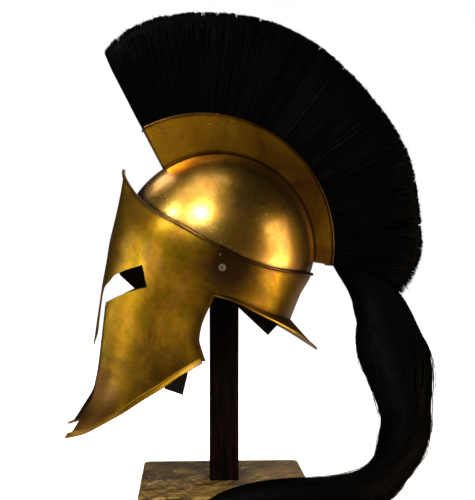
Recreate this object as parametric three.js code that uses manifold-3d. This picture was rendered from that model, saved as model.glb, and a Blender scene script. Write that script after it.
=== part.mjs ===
// A crested Greek helmet of the Corinthian family in antiqued sheet brass, on its plain wooden stand.
// Millimetres, +Z up. The face looks along -Y and the wearer's left side is +X. The origin is the centre of
// the stand's underside, and the helmet's plane of symmetry is X = 0.
import * as THREE from "three";
import { mergeVertices } from "three/addons/utils/BufferGeometryUtils.js";
import Module from "manifold-3d";

const wasm = await Module();
wasm.setup();

// Stand
const baseSide = 206;
const baseThick = 22;
const baseCorner = 9;
const baseEase = 1.5;
const postSide = 35;
const standTurn = -5; // degrees, as the helmet was set down on its post

// Skull: a raised bowl, longer than it is wide, whose lower half draws in towards the neck
const skullLength = 244;
const skullWidth = 200;
const skullUnder = 95;
const crownHeight = 427;
const skullForward = 8.5;
const sheet = 1.5;
const seatGap = 0.6;
const touchGap = 0.3;

// Face, cheeks and neck: one sheet round the skull
const faceReach = 141.3;
const peakRise = 99;
const chinDrop = 223;
const blendWidth = 2;
const beadRadius = 2;
const cheekHem = 6.5;
const cheekHemLean = 42; // degrees out from the wall
const rearCurl = 7;
const rearCurlTurn = 52; // degrees in from the wall
const neckFlare = 34.4;
const neckDrop = 39.2;
const earBearing = 81; // degrees round from the nose, where the cheek ends and the neck begins
const nasalHalf = 13.5;
const farEyeDrop = 8; // how much lower the right eye's lower edge was cut, at its front
const wallColumns = 34;

// Crest: a curved sheet channel astride the skull, with the hair brush in it
const crestForward = 25.2;
const crestCentreRise = 7.6; // above the skull's centre
const crestRadius = 161.5;
const crestStart = -27.8; // degrees from straight up, negative towards the face
const crestEnd = 98.9; // degrees
const crestWidth = 34;
const crestBead = 1.7;
const crestFoot = 4;
const crestFootThick = 1;
const crestSteps = 18;
const brushSeat = 0.1; // where the hair is set, as a share of the channel's depth above the skull
const brushLength = 131.3;
const brushFlare = 23; // half the brush's width at its outer edge
const brushLocks = 24;
const lockDepth = 2.2;

// Hair tail
const tailBack = 212;
const tailSide = 139;
const tailBroad = 44; // half its width where it is fullest
const tailLocks = 9;
const tailLockDepth = 0.14; // as a share of the tail's half width

// Chin straps and rivets
const strapWidth = 23;
const strapThick = 2.4;
const strapTop = 11;
const leftStrapLength = 157;
const leftStrapLean = 19.6; // degrees forward of straight down
const rightStrapLength = 118;
const rightStrapLean = -46; // degrees
const leftStrapEnd = 60; // out from the plane of symmetry
const rightStrapEnd = 40;
const leftStrapBow = 13; // how far the left strap bends forwards half way down
const rivetForward = 6.2; // in front of the skull's centre
const rivetDrop = 19;
const rivetHead = 4.3;
const rivetShank = 2.4;
const rivetBore = 1.4;
const rivetHeadThick = 1.1;
const pinHead = 1.7;
const pinShank = 0.9;
const pinHeadThick = 1.1;
const padThick = 2;
const padGap = 1.1;

const skullY = -skullForward;
const skullZ = crownHeight - skullLength / 2;
const crestY = -crestForward;
const crestZ = skullZ + crestCentreRise;
const degrees = Math.PI / 180;
const V = (x, y, z) => new THREE.Vector3(x, y, z);

// Shares of the helmet's reach and height, measured from the skull's centre, as places in millimetres.
// fore is in shares of faceReach forwards and of half the skull's length backwards, and rise in shares of
// peakRise upwards and of chinDrop downwards.
const placeY = (fore) => skullY - fore * (fore >= 0 ? faceReach : skullLength / 2);
const placeZ = (rise) => skullZ + rise * (rise >= 0 ? peakRise : chinDrop);

// Each row is a level section of the face sheet: how far it reaches in front (of faceReach), to each side
// (of half the skull's width) and behind (of half its length).
const faceSections = [
  { rise: -1.0, front: 1.578, half: 0.795, back: 0.62 },
  { rise: -0.919, front: 1.405, half: 0.79, back: 0.62 },
  { rise: -0.789, front: 1.21, half: 0.79, back: 0.63 },
  { rise: -0.646, front: 1.124, half: 0.81, back: 0.645 },
  { rise: -0.511, front: 1.082, half: 0.845, back: 0.68 },
  { rise: -0.381, front: 1.052, half: 0.885, back: 0.75 },
  { rise: -0.278, front: 1.028, half: 0.93, back: 0.825 },
  { rise: -0.161, front: 1.0, half: 0.985, back: 0.9 },
  { rise: -0.05, front: 0.968, half: 1.015, back: 0.94 },
  { rise: 0.131, front: 0.94, half: 1.01, back: 0.95 },
  { rise: 0.303, front: 0.911, half: 0.965, back: 0.93 },
  { rise: 0.495, front: 0.88, half: 0.84, back: 0.85 },
  { rise: 0.737, front: 0.846, half: 0.61, back: 0.7 },
  { rise: 1.0, front: 0.817, half: 0.42, back: 0.6 },
];

// The height of the rolled rim by bearing: degrees round from the nose.
const rimHeights = [
  { bearing: 0, rise: 1.0 },
  { bearing: 15, rise: 0.737 },
  { bearing: 36, rise: 0.505 },
  { bearing: 58, rise: 0.313 },
  { bearing: 80, rise: 0.091 },
  { bearing: 105, rise: -0.055 },
  { bearing: 134, rise: -0.11 },
  { bearing: 180, rise: -0.132 },
];

// The neck's lower edge by bearing, and how far its flange stands out (of neckFlare) and down (of neckDrop).
const neckEdge = [
  { bearing: 80, rise: -0.2215, out: 0.06, down: 0.05 },
  { bearing: 95, rise: -0.248, out: 0.15, down: 0.1 },
  { bearing: 109, rise: -0.287, out: 0.23, down: 0.18 },
  { bearing: 125, rise: -0.329, out: 0.36, down: 0.28 },
  { bearing: 147, rise: -0.3645, out: 0.66, down: 0.58 },
  { bearing: 165, rise: -0.381, out: 0.9, down: 0.87 },
  { bearing: 180, rise: -0.3855, out: 1.0, down: 1.0 },
];

// Outlines seen from the side, in shares as above.
const eyeTop = [
  { fore: 1.05, rise: -0.185 },
  { fore: 0.985, rise: -0.168 },
  { fore: 0.87, rise: -0.117 },
  { fore: 0.683, rise: -0.073 },
];
const eyeBottom = [
  { fore: 0.645, rise: -0.19 },
  { fore: 0.741, rise: -0.206 },
  { fore: 0.87, rise: -0.238 },
  { fore: 0.9745, rise: -0.277 },
];
const cheekFront = [
  { fore: 0.9745, rise: -0.277 },
  { fore: 1.005, rise: -0.447 },
  { fore: 1.0255, rise: -0.561 },
  { fore: 1.0425, rise: -0.6466 },
  { fore: 1.065, rise: -0.7265 },
  { fore: 1.0934, rise: -0.789 },
  { fore: 1.149, rise: -0.847 },
  { fore: 1.216, rise: -0.918 },
  { fore: 1.3036, rise: -1.0 },
];
const cheekLower = [
  { fore: 0.192, rise: -0.584 },
  { fore: 0.373, rise: -0.654 },
  { fore: 0.5046, rise: -0.714 },
  { fore: 0.646, rise: -0.773 },
  { fore: 0.808, rise: -0.845 },
  { fore: 0.918, rise: -0.889 },
  { fore: 1.081, rise: -0.949 },
  { fore: 1.1925, rise: -0.981 },
  { fore: 1.3036, rise: -1.0 },
];
const cheekRear = [
  { fore: 0.12, rise: -0.2215 },
  { fore: 0.165, rise: -0.2816 },
  { fore: 0.212, rise: -0.35 },
  { fore: 0.235, rise: -0.402 },
  { fore: 0.247, rise: -0.457 },
  { fore: 0.2345, rise: -0.504 },
  { fore: 0.192, rise: -0.584 },
];

// The hidden lower edge of the skull, inside the face sheet.
const skullSkirt = [
  { fore: 1.0, rise: 0.26 },
  { fore: 0.5, rise: 0.16 },
  { fore: 0.25, rise: -0.02 },
  { fore: 0.04, rise: -0.14 },
  { fore: -0.24, rise: -0.19 },
  { fore: -0.56, rise: -0.235 },
  { fore: -1.1, rise: -0.26 },
];

// The nose piece from the front: half widths as shares of nasalHalf, from the brow down to its point.
const nasalOutline = [
  { half: 3.2, rise: -0.1 },
  { half: 2.1, rise: -0.165 },
  { half: 1.05, rise: -0.205 },
  { half: 0.78, rise: -0.28 },
  { half: 0.9, rise: -0.36 },
  { half: 1.0, rise: -0.43 },
  { half: 0.85, rise: -0.465 },
  { half: 0.1, rise: -0.512 },
];

// How far the brush reaches beyond its channel (of brushLength), by degrees round the crest.
const brushReach = [
  { turn: -27.5, reach: 0.807 },
  { turn: -24, reach: 0.865 },
  { turn: -16, reach: 0.937 },
  { turn: 2, reach: 0.976 },
  { turn: 20, reach: 1.0 },
  { turn: 48, reach: 0.947 },
  { turn: 68, reach: 0.952 },
  { turn: 84, reach: 0.908 },
  { turn: 95, reach: 0.855 },
  { turn: 98.6, reach: 0.768 },
];

// The tail's run: side (of tailSide), back (of tailBack), level (of the crest end's height), and its two half
// widths (of tailBroad), along the run's own plane and across it.
const tailRun = [
  { side: 0, back: 0.81, level: 0.98, broad: 0.8, thick: 0.4 },
  { side: 0.02, back: 0.89, level: 0.898, broad: 0.66, thick: 0.45 },
  { side: 0.05, back: 0.922, level: 0.827, broad: 0.73, thick: 0.5 },
  { side: 0.1, back: 0.957, level: 0.757, broad: 0.84, thick: 0.54 },
  { side: 0.2, back: 0.97, level: 0.656, broad: 1.0, thick: 0.58 },
  { side: 0.31, back: 1.0, level: 0.555, broad: 0.98, thick: 0.6 },
  { side: 0.43, back: 1.008, level: 0.429, broad: 0.78, thick: 0.6 },
  { side: 0.54, back: 0.997, level: 0.335, broad: 0.68, thick: 0.6 },
  { side: 0.68, back: 0.939, level: 0.249, broad: 0.64, thick: 0.58 },
  { side: 0.79, back: 0.86, level: 0.176, broad: 0.52, thick: 0.54 },
  { side: 0.9, back: 0.745, level: 0.118, broad: 0.5, thick: 0.55 },
  { side: 0.98, back: 0.6, level: 0.088, broad: 0.54, thick: 0.6 },
  { side: 1.0, back: 0.44, level: 0.08, broad: 0.52, thick: 0.6 },
  { side: 0.99, back: 0.27, level: 0.079, broad: 0.51, thick: 0.6 },
  { side: 0.965, back: 0.1, level: 0.074, broad: 0.48, thick: 0.54 },
  { side: 0.94, back: -0.06, level: 0.06, broad: 0.38, thick: 0.42 },
  { side: 0.92, back: -0.17, level: 0.042, broad: 0.2, thick: 0.24 },
];

// The leather pad seen through the eye opening, from the side.
const padOutline = [
  { fore: 0.88, rise: -0.085 },
  { fore: 0.845, rise: -0.14 },
  { fore: 0.705, rise: -0.222 },
  { fore: 0.6, rise: -0.222 },
  { fore: 0.6, rise: -0.06 },
  { fore: 0.87, rise: -0.06 },
];

// A natural cubic spline: the smoothest curve of y over x through the given values.
function spline(xs, ys) {
  const last = xs.length - 1;
  const step = xs.slice(1).map((x, i) => x - xs[i]);
  const bend = new Array(last + 1).fill(0);
  const share = [0];
  const rest = [0];
  for (let i = 1; i < last; i++) {
    const pivot = 2 * (step[i - 1] + step[i]) - step[i - 1] * share[i - 1];
    const turn = (ys[i + 1] - ys[i]) / step[i] - (ys[i] - ys[i - 1]) / step[i - 1];
    share[i] = step[i] / pivot;
    rest[i] = (6 * turn - step[i - 1] * rest[i - 1]) / pivot;
  }
  for (let i = last - 1; i > 0; i--) bend[i] = rest[i] - share[i] * bend[i + 1];
  return (x) => {
    let i = 0;
    while (i < last - 1 && x > xs[i + 1]) i++;
    const h = step[i];
    const b = (x - xs[i]) / h;
    const a = 1 - b;
    const sag = ((a ** 3 - a) * bend[i] + (b ** 3 - b) * bend[i + 1]) * h * h;
    return a * ys[i] + b * ys[i + 1] + sag / 6;
  };
}

// One column of a table as a smooth function of another.
const smoothColumn = (rows, key, column) =>
  spline(
    rows.map((row) => row[key]),
    rows.map((row) => row[column]),
  );

// A table by bearing, carried on past the back of the head so that it is the same on both sides.
const bothSides = (rows) => [
  ...rows,
  ...rows
    .slice(0, -1)
    .reverse()
    .map((row) => ({ ...row, bearing: 360 - row.bearing })),
];

const sectionLevels = faceSections.map((row) => placeZ(row.rise));
const sectionSize = (column, size) =>
  spline(
    sectionLevels,
    faceSections.map((row) => row[column] * size),
  );
const faceFront = sectionSize("front", faceReach);
const faceHalf = sectionSize("half", skullWidth / 2);
const faceBack = sectionSize("back", skullLength / 2);

const inMillimetres = (rows) => rows.map((row) => ({ ...row, z: placeZ(row.rise) }));
const rimZ = smoothColumn(bothSides(inMillimetres(rimHeights)), "bearing", "z");
const neckRows = bothSides(inMillimetres(neckEdge));
const neckZ = smoothColumn(neckRows, "bearing", "z");
const neckOut = smoothColumn(neckRows, "bearing", "out");
const neckDown = smoothColumn(neckRows, "bearing", "down");

// The distance from the upright line through the skull's centre to the skull's outside.
function skullRadius(bearing, z) {
  const rise = z - skullZ;
  const level = 1 - (rise / (rise > 0 ? skullLength / 2 : skullUnder)) ** 2;
  const along = Math.cos(bearing) / (skullLength / 2);
  const across = Math.sin(bearing) / (skullWidth / 2);
  return Math.sqrt(Math.max(level, 0) / (along ** 2 + across ** 2));
}

// The same for the outside of the face sheet, which lies on the skull wherever it would cut into it.
function faceRadius(bearing, z) {
  const ahead = Math.cos(bearing);
  const along = ahead / (ahead > 0 ? faceFront(z) : faceBack(z));
  const across = Math.sin(bearing) / faceHalf(z);
  const own = 1 / Math.hypot(along, across);
  const onSkull = skullRadius(bearing, z) + seatGap + sheet;
  return (own + onSkull + Math.hypot(own - onSkull, blendWidth)) / 2;
}

const roundSkull = (bearing, radius, z) =>
  V(radius * Math.sin(bearing), skullY - radius * Math.cos(bearing), z);
const onFace = (bearing, z, out = 0) => roundSkull(bearing, faceRadius(bearing, z) + out, z);

// The bearing at which a level section of the face sheet reaches a given Y.
function bearingAt(y, z) {
  let low = 0;
  let high = Math.PI;
  for (let i = 0; i < 40; i++) {
    const middle = (low + high) / 2;
    if (onFace(middle, z).y < y) low = middle;
    else high = middle;
  }
  return (low + high) / 2;
}

// The outward direction of the face sheet at a bearing and height.
function faceNormal(bearing, z) {
  const d = 0.01;
  const round = onFace(bearing + d, z).sub(onFace(bearing - d, z));
  const up = onFace(bearing, z + 1).sub(onFace(bearing, z - 1));
  return round.cross(up).normalize();
}

// A geometry as a manifold-3d solid, with its faces turned outwards.
function solid(geometry) {
  const bare = new THREE.BufferGeometry();
  bare.setAttribute("position", geometry.getAttribute("position"));
  bare.setIndex(geometry.getIndex());
  const merged = mergeVertices(bare, 1e-4);
  const corners = merged.getIndex().array;
  const triVerts = [];
  for (let i = 0; i < corners.length; i += 3) {
    const [a, b, c] = corners.slice(i, i + 3);
    if (a !== b && b !== c && c !== a) triVerts.push(a, b, c);
  }
  const vertProperties = merged.getAttribute("position").array;
  const build = (order) =>
    new wasm.Manifold(
      new wasm.Mesh({ numProp: 3, vertProperties, triVerts: new Uint32Array(order) }),
    );
  const made = build(triVerts);
  return made.volume() > 0 ? made : build(triVerts.reverse());
}

// A manifold-3d solid as a named mesh.
function named(name, body, material) {
  const { vertProperties, triVerts } = body.getMesh();
  const geometry = new THREE.BufferGeometry();
  geometry.setAttribute("position", new THREE.BufferAttribute(vertProperties, 3));
  geometry.setIndex(new THREE.BufferAttribute(triVerts, 1));
  geometry.computeVertexNormals();
  const mesh = new THREE.Mesh(geometry, material);
  mesh.name = name;
  return mesh;
}

// A solid through rings of points, one after another: closed into a hoop, or with flat ends.
function loft(rings, hoop = false) {
  const sides = rings[0].length;
  const positions = rings.flat().flatMap((p) => [p.x, p.y, p.z]);
  const index = [];
  const at = (i, j) => (i % rings.length) * sides + (j % sides);
  for (let i = 0; i < rings.length - (hoop ? 0 : 1); i++)
    for (let j = 0; j < sides; j++)
      index.push(
        ...[at(i, j), at(i, j + 1), at(i + 1, j + 1)],
        ...[at(i, j), at(i + 1, j + 1), at(i + 1, j)],
      );
  if (!hoop)
    for (const [end, turned] of [
      [0, true],
      [rings.length - 1, false],
    ]) {
      const middle = rings[end].reduce((sum, p) => sum.add(p), V(0, 0, 0));
      middle.divideScalar(sides);
      const hub = positions.push(middle.x, middle.y, middle.z) / 3 - 1;
      for (let j = 0; j < sides; j++)
        index.push(hub, ...(turned ? [at(end, j + 1), at(end, j)] : [at(end, j), at(end, j + 1)]));
    }
  const geometry = new THREE.BufferGeometry();
  geometry.setAttribute("position", new THREE.Float32BufferAttribute(positions, 3));
  geometry.setIndex(index);
  return solid(geometry);
}

// A round bar through the given centres. outs are the directions that the bar's first side faces.
function bar(centres, outs, radius, sides, hoop = false) {
  const count = centres.length;
  const near = (i) => (hoop ? (i + count) % count : Math.min(Math.max(i, 0), count - 1));
  const rings = centres.map((centre, i) => {
    const run = centres[near(i + 1)].clone().sub(centres[near(i - 1)]).normalize();
    const out = outs[i].clone().addScaledVector(run, -outs[i].dot(run)).normalize();
    const up = run.clone().cross(out);
    return Array.from({ length: sides }, (_, j) => {
      const turn = (2 * Math.PI * j) / sides;
      return centre
        .clone()
        .addScaledVector(out, radius * Math.cos(turn))
        .addScaledVector(up, radius * Math.sin(turn));
    });
  });
  return loft(rings, hoop);
}

// A solid prism across the helmet from an outline seen from the side, given as [y, z] pairs.
function sidePrism(outline, halfWidth) {
  const shape = new THREE.Shape(outline.map(([y, z]) => new THREE.Vector2(y, z)));
  const geometry = new THREE.ExtrudeGeometry(shape, {
    depth: 2 * halfWidth,
    bevelEnabled: false,
  });
  const turned = new THREE.Matrix4().makeBasis(V(0, 1, 0), V(0, 0, 1), V(1, 0, 0));
  geometry.applyMatrix4(turned.setPosition(-halfWidth, 0, 0));
  return solid(geometry);
}

// A smooth line of [y, z] pairs through a side outline's rows.
function sideCurve(rows, steps) {
  const knots = rows.map((row) => new THREE.Vector2(placeY(row.fore), placeZ(row.rise)));
  return new THREE.SplineCurve(knots).getPoints(steps).map((p) => [p.x, p.y]);
}

// The skull's outline as a full solid, grown by some margin.
function skullSolid(grow, around = 34, down = 18) {
  const geometry = new THREE.SphereGeometry(1, around, down);
  geometry.rotateX(Math.PI / 2);
  const position = geometry.getAttribute("position");
  for (let i = 0; i < position.count; i++) {
    const z = position.getZ(i);
    position.setXYZ(
      i,
      position.getX(i) * (skullWidth / 2 + grow),
      position.getY(i) * (skullLength / 2 + grow) + skullY,
      z * ((z > 0 ? skullLength / 2 : skullUnder) + grow) + skullZ,
    );
  }
  return solid(geometry);
}

// A round tool or peg along an axis through a point, from start to end along that axis.
function peg(at, axis, radius, start, end, sides = 12) {
  const geometry = new THREE.CylinderGeometry(radius, radius, end - start, sides);
  const turn = new THREE.Quaternion().setFromUnitVectors(V(0, 1, 0), axis);
  geometry.applyQuaternion(turn);
  const middle = at.clone().addScaledVector(axis, (start + end) / 2);
  geometry.translate(middle.x, middle.y, middle.z);
  return solid(geometry);
}

// Where the rivets and pins go through, on the wearer's left (+1) or right (-1).
const wayOut = 400;
function spot(side, forward, rise) {
  const y = skullY - forward;
  const z = skullZ + rise;
  const bearing = bearingAt(y, z);
  const at = onFace(bearing, z);
  const axis = faceNormal(bearing, z);
  if (axis.x < 0) axis.negate();
  at.x *= side;
  axis.x *= side;
  return { at, axis };
}
const rivetSpot = (side) => spot(side, rivetForward, -rivetDrop);

// Pins near the rim: how far forward and up they are, and whether they are in the skull or the face sheet.
const pinSpots = [
  { name: "a", forward: 7.5, rise: 9.2, inSkull: true },
  { name: "b", forward: -2.8, rise: 4.4, inSkull: true },
  { name: "c", forward: 8.5, rise: -4, inSkull: false },
];
function pinPlace(side, pin) {
  const { at, axis } = spot(side, pin.forward, pin.rise);
  if (pin.inSkull) {
    const bearing = bearingAt(at.y, at.z);
    const radius = skullRadius(bearing, at.z);
    at.copy(roundSkull(bearing, radius, at.z));
    at.x *= side;
  }
  return { at, axis };
}
const pinHoles = (inSkull) =>
  [1, -1].flatMap((side) =>
    pinSpots
      .filter((pin) => pin.inSkull === inSkull)
      .map((pin) => {
        const { at, axis } = pinPlace(side, pin);
        return peg(at, axis, pinShank + touchGap, -3 * sheet, 3 * sheet, 8);
      }),
  );
const rivetHoles = () =>
  [1, -1].map((side) => {
    const { at, axis } = rivetSpot(side);
    return peg(at, axis, rivetShank + touchGap, -10 * sheet, 6 * sheet);
  });
const cutAll = (body, tools) => tools.reduce((rest, tool) => rest.subtract(tool), body);

// Skull: the raised bowl, open below, with its lower edge hidden inside the face sheet.
function skullDome() {
  const skirt = sideCurve(skullSkirt, 24);
  const low = skullZ - 2 * chinDrop;
  const under = sidePrism(
    [[-wayOut, skirt[0][1]], ...skirt, [wayOut, skirt.at(-1)[1]], [wayOut, low], [-wayOut, low]],
    wayOut,
  );
  const shell = skullSolid(0).subtract(skullSolid(-sheet)).subtract(under);
  return cutAll(shell, [...rivetHoles(), ...pinHoles(true)]);
}

// Ribbon stations along a side outline of the face sheet: where each is, and the two directions there that
// point out of the sheet and on past its edge.
function edgeStations(rows, steps, past) {
  const line = sideCurve(rows, steps);
  const bearings = line.map(([y, z]) => [bearingAt(y, z), z]);
  const points = bearings.map(([bearing, z]) => onFace(bearing, z, -sheet / 2));
  return points.map((at, i) => {
    const before = points[Math.max(i - 1, 0)];
    const after = points[Math.min(i + 1, points.length - 1)];
    const run = after.clone().sub(before).normalize();
    const out = faceNormal(...bearings[i]);
    if (out.x < 0) out.negate();
    const on = run.clone().cross(out).normalize();
    if (on.dot(past) < 0) on.negate();
    return { at, out, on, run };
  });
}

// A strip of sheet along an edge, turned by an angle out of the wall, which ends on the outline.
function turnedStrip(stations, width, angle) {
  const lean = angle * degrees;
  const rings = stations.map(({ at, out, on, run }, i) => {
    const wide = typeof width === "function" ? width(i / (stations.length - 1)) : width;
    const way = on.clone().multiplyScalar(Math.cos(lean)).addScaledVector(out, Math.sin(lean));
    const thick = run.clone().cross(way).normalize().multiplyScalar(sheet / 2);
    const root = at.clone().addScaledVector(on, -wide * Math.cos(lean));
    const inner = root.clone().addScaledVector(way, -sheet / 2);
    const outer = root.clone().addScaledVector(way, wide);
    return [
      inner.clone().add(thick),
      outer.clone().add(thick),
      outer.clone().sub(thick),
      inner.clone().sub(thick),
    ];
  });
  return loft(rings);
}

// The same strip on the other side of the helmet.
const mirrored = (body) => body.mirror([1, 0, 0]);
const pair = (body) => [body, mirrored(body)];

const hemWidth = (t) => cheekHem * (1 + 0.45 * t ** 3);

// A side outline moved by some distance square to its run, towards +1 or away from -1 its left.
function movedLine(line, distance) {
  return line.map(([y, z], i) => {
    const [y0, z0] = line[Math.max(i - 1, 0)];
    const [y1, z1] = line[Math.min(i + 1, line.length - 1)];
    const length = Math.hypot(y1 - y0, z1 - z0);
    const by = typeof distance === "function" ? distance(i / (line.length - 1)) : distance;
    return [y - (by * (z1 - z0)) / length, z + (by * (y1 - y0)) / length];
  });
}

// Face sheet: brow, nose piece, cheeks and neck in one, with a rolled rim, hemmed cheeks and a flared neck.
function faceMask() {
  const bearings = Array.from({ length: wallColumns }, (_, i) => (i * 360) / wallColumns);
  const chinZ = placeZ(-1.04);
  const wall = loft(
    bearings.map((b) => {
      const top = rimZ(b);
      const atEye = placeZ(-0.22);
      const upper = Array.from({ length: 5 }, (_, i) => top + ((atEye - top) * i) / 5);
      const lower = Array.from({ length: 8 }, (_, i) => atEye + ((chinZ - atEye) * i) / 7);
      const levels = [...upper, ...lower];
      return [
        ...levels.map((z) => onFace(b * degrees, z)),
        ...levels.reverse().map((z) => onFace(b * degrees, z, -sheet)),
      ];
    }),
    true,
  );

  // The front opening: both eyes and the gap between the cheeks, less the nose piece.
  const front = placeY(1.9);
  const brow = sideCurve(eyeTop, 8);
  const opening = sidePrism(
    [
      [front, placeZ(-0.21)],
      ...brow,
      ...sideCurve(eyeBottom, 8),
      ...sideCurve(cheekFront, 14).slice(1),
      [placeY(1.3036), placeZ(-1.1)],
      [front, placeZ(-1.1)],
    ],
    wayOut,
  );
  const farLower = sideCurve(eyeBottom, 8);
  const farShare = (i) => 0.4 + (0.6 * i) / (farLower.length - 1);
  const lowered = farLower.map(([y, z], i) => [y, z - farEyeDrop * farShare(i)]);
  const farEye = sidePrism([...farLower, ...lowered.reverse()], wayOut / 2).translate([-wayOut / 2, 0, 0]);
  const nose = nasalPrism();

  // Everything below the hemmed edge of the cheeks and behind their curled edge.
  const rear = movedLine(sideCurve(cheekRear, 10), rearCurl * Math.cos(rearCurlTurn * degrees));
  const hemRise = (t) => -hemWidth(t) * Math.cos(cheekHemLean * degrees);
  const lower = movedLine(sideCurve(cheekLower, 14), hemRise);
  const belowCheek = sidePrism(
    [
      [placeY(0.04), placeZ(-0.25)],
      ...rear,
      ...lower.slice(1),
      [lower.at(-1)[0] - 5, placeZ(-1.1)],
      [wayOut, placeZ(-1.1)],
      [wayOut, placeZ(-0.41)],
      [placeY(0.04), placeZ(-0.41)],
    ],
    wayOut,
  );

  const rimStations = bearings;
  const rim = bar(
    rimStations.map((b) => onFace(b * degrees, rimZ(b), 0.4 * sheet)),
    rimStations.map((b) => V(Math.sin(b * degrees), -Math.cos(b * degrees), 0)),
    beadRadius,
    6,
    true,
  );
  const hem = turnedStrip(edgeStations(cheekLower, 12, V(0, 0, -1)), hemWidth, cheekHemLean);
  const curl = turnedStrip(edgeStations(cheekRear, 8, V(0, 1, 0)), rearCurl, -rearCurlTurn);

  let mask = wall.subtract(opening.add(farEye).subtract(nose)).subtract(belowCheek).subtract(belowNeck());
  for (const piece of [rim, neckFlange(), ...pair(hem), ...pair(curl)]) mask = mask.add(piece);
  return cutAll(mask, [...rivetHoles(), ...pinHoles(false)]);
}

// The nose piece's outline from the front, carried back past the face, with a flat top inside the brow.
function nasalPrism() {
  const side = new THREE.SplineCurve(
    nasalOutline.map((row) => new THREE.Vector2(row.half * nasalHalf, placeZ(row.rise))),
  ).getPoints(16);
  const shape = new THREE.Shape([
    ...side,
    ...side.reverse().map((p) => new THREE.Vector2(-p.x, p.y)),
  ]);
  const depth = faceReach;
  const geometry = new THREE.ExtrudeGeometry(shape, { depth, bevelEnabled: false });
  geometry.applyMatrix4(
    new THREE.Matrix4()
      .makeBasis(V(1, 0, 0), V(0, 0, 1), V(0, -1, 0))
      .setPosition(0, skullY - faceReach / 2, 0),
  );
  return solid(geometry);
}

// All that lies below the neck's edge, behind the ears.
function belowNeck() {
  const low = placeZ(-1.1);
  const [inner, outer] = [0.08 * skullLength, skullLength];
  return loft(
    neckBearings().map((b) => {
      const way = (radius, z) => roundSkull(b * degrees, radius, z);
      return [way(inner, low), way(outer, low), way(outer, neckZ(b)), way(inner, neckZ(b))];
    }),
  );
}

// The flange round the neck, narrow at the ears and widest behind.
const neckSteps = 18;
const neckBearings = () =>
  Array.from(
    { length: neckSteps + 1 },
    (_, i) => earBearing + ((360 - 2 * earBearing) * i) / neckSteps,
  );
function neckFlange() {
  const rings = neckBearings().map((b) => {
    const z = neckZ(b);
    const out = neckOut(b) * neckFlare;
    const down = neckDown(b) * neckDrop;
    const length = Math.hypot(out, down);
    const [sideways, upright] = [(down / length) * (sheet / 2), (out / length) * (sheet / 2)];
    const place = (o, dz) => onFace(b * degrees, z, -sheet / 2).add(
      V(Math.sin(b * degrees) * o, -Math.cos(b * degrees) * o, dz),
    );
    return [
      place(sideways, upright),
      place(out + sideways, upright - down),
      place(out - sideways, -down - upright),
      place(-sideways, -upright),
    ];
  });
  return loft(rings);
}

// Places on the crest: turn is in degrees from straight up towards the back.
const onCrest = (turn, radius, x = 0) =>
  V(x, crestY + radius * Math.sin(turn * degrees), crestZ + radius * Math.cos(turn * degrees));

function crestSector(inner, outer, from, to, steps) {
  const arc = (radius) =>
    Array.from({ length: steps + 1 }, (_, i) => {
      const p = onCrest(from + ((to - from) * i) / steps, radius);
      return [p.y, p.z];
    });
  return [...arc(outer), ...arc(inner).reverse()];
}

// Crest channel: two curved walls and two ends of sheet, a foot on the skull and a rolled edge on top.
function crestBox() {
  const inside = crestRadius - brushLength;
  const half = crestWidth / 2;
  const endWall = (sheet / crestRadius) / degrees;
  const full = sidePrism(crestSector(inside, crestRadius, crestStart, crestEnd, crestSteps), half);
  const [slotStart, slotEnd] = [crestStart + endWall, crestEnd - endWall];
  const hollow = sidePrism(
    crestSector(inside, crestRadius + crestWidth, slotStart, slotEnd, crestSteps),
    half - sheet,
  );
  const footSector = crestSector(inside, crestRadius, crestStart, crestEnd, crestSteps);
  const footSlot = crestSector(inside, crestRadius, slotStart, slotEnd, crestSteps);
  const foot = skullSolid(seatGap + crestFootThick)
    .intersect(sidePrism(footSector, half + crestFoot))
    .subtract(sidePrism(footSlot, half - sheet));
  const turns = Array.from(
    { length: crestSteps + 1 },
    (_, i) => crestStart + ((crestEnd - crestStart) * i) / crestSteps,
  );
  const edge = bar(
    turns.map((turn) => onCrest(turn, crestRadius - 0.3 * crestBead, half)),
    turns.map(() => V(1, 0, 0)),
    crestBead,
    6,
  );
  let box = full.subtract(hollow).add(foot);
  for (const piece of pair(edge)) box = box.add(piece);
  return box.subtract(hollow).subtract(skullSolid(seatGap));
}

// Degrees of the crest between the end of its channel and the end of the hair in it.
const brushEndGap = () => (sheet + 2 * touchGap) / crestRadius / degrees;

// How far the skull reaches from the crest's centre.
function skullReach(turn) {
  let [low, high] = [0, skullLength];
  for (let i = 0; i < 30; i++) {
    const middle = (low + high) / 2;
    const p = onCrest(turn, middle);
    const half = p.z > skullZ ? crownHeight - skullZ : skullUnder;
    const share = ((p.y - skullY) / (skullLength / 2)) ** 2 + ((p.z - skullZ) / half) ** 2;
    [low, high] = share < 1 ? [middle, high] : [low, middle];
  }
  return high;
}

// Hair brush: locks side by side along the channel, fanned out and trimmed to one even edge.
function crestBrush() {
  const reach = smoothColumn(brushReach, "turn", "reach");
  const mouth = crestRadius + 2 * crestBead;
  const slot = crestWidth / 2 - sheet - touchGap;
  const endGap = brushEndGap();
  const from = crestStart + endGap;
  const to = crestEnd - endGap;
  const stations = 2 * brushLocks;
  const rings = Array.from({ length: stations + 1 }, (_, i) => {
    const turn = from + ((to - from) * i) / stations;
    const proud = i % 2 ? lockDepth : 0;
    const tip = crestRadius + brushLength * reach(turn) - lockDepth + proud;
    const wide = brushFlare - lockDepth + proud;
    const under = skullReach(turn) + seatGap;
    const root = under + brushSeat * (crestRadius - under);
    const side = [
      [root, slot],
      [mouth, slot],
      [crestRadius + 0.35 * brushLength, slot + (wide - slot) * 0.5],
      [tip - 0.12 * brushLength, wide],
      [tip - 0.02 * brushLength, 0.6 * wide],
    ];
    return [
      ...side.map(([r, x]) => onCrest(turn, r, x)),
      onCrest(turn, tip, 0),
      ...side.reverse().map(([r, x]) => onCrest(turn, r, -x)),
    ];
  });
  return loft(rings);
}

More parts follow.
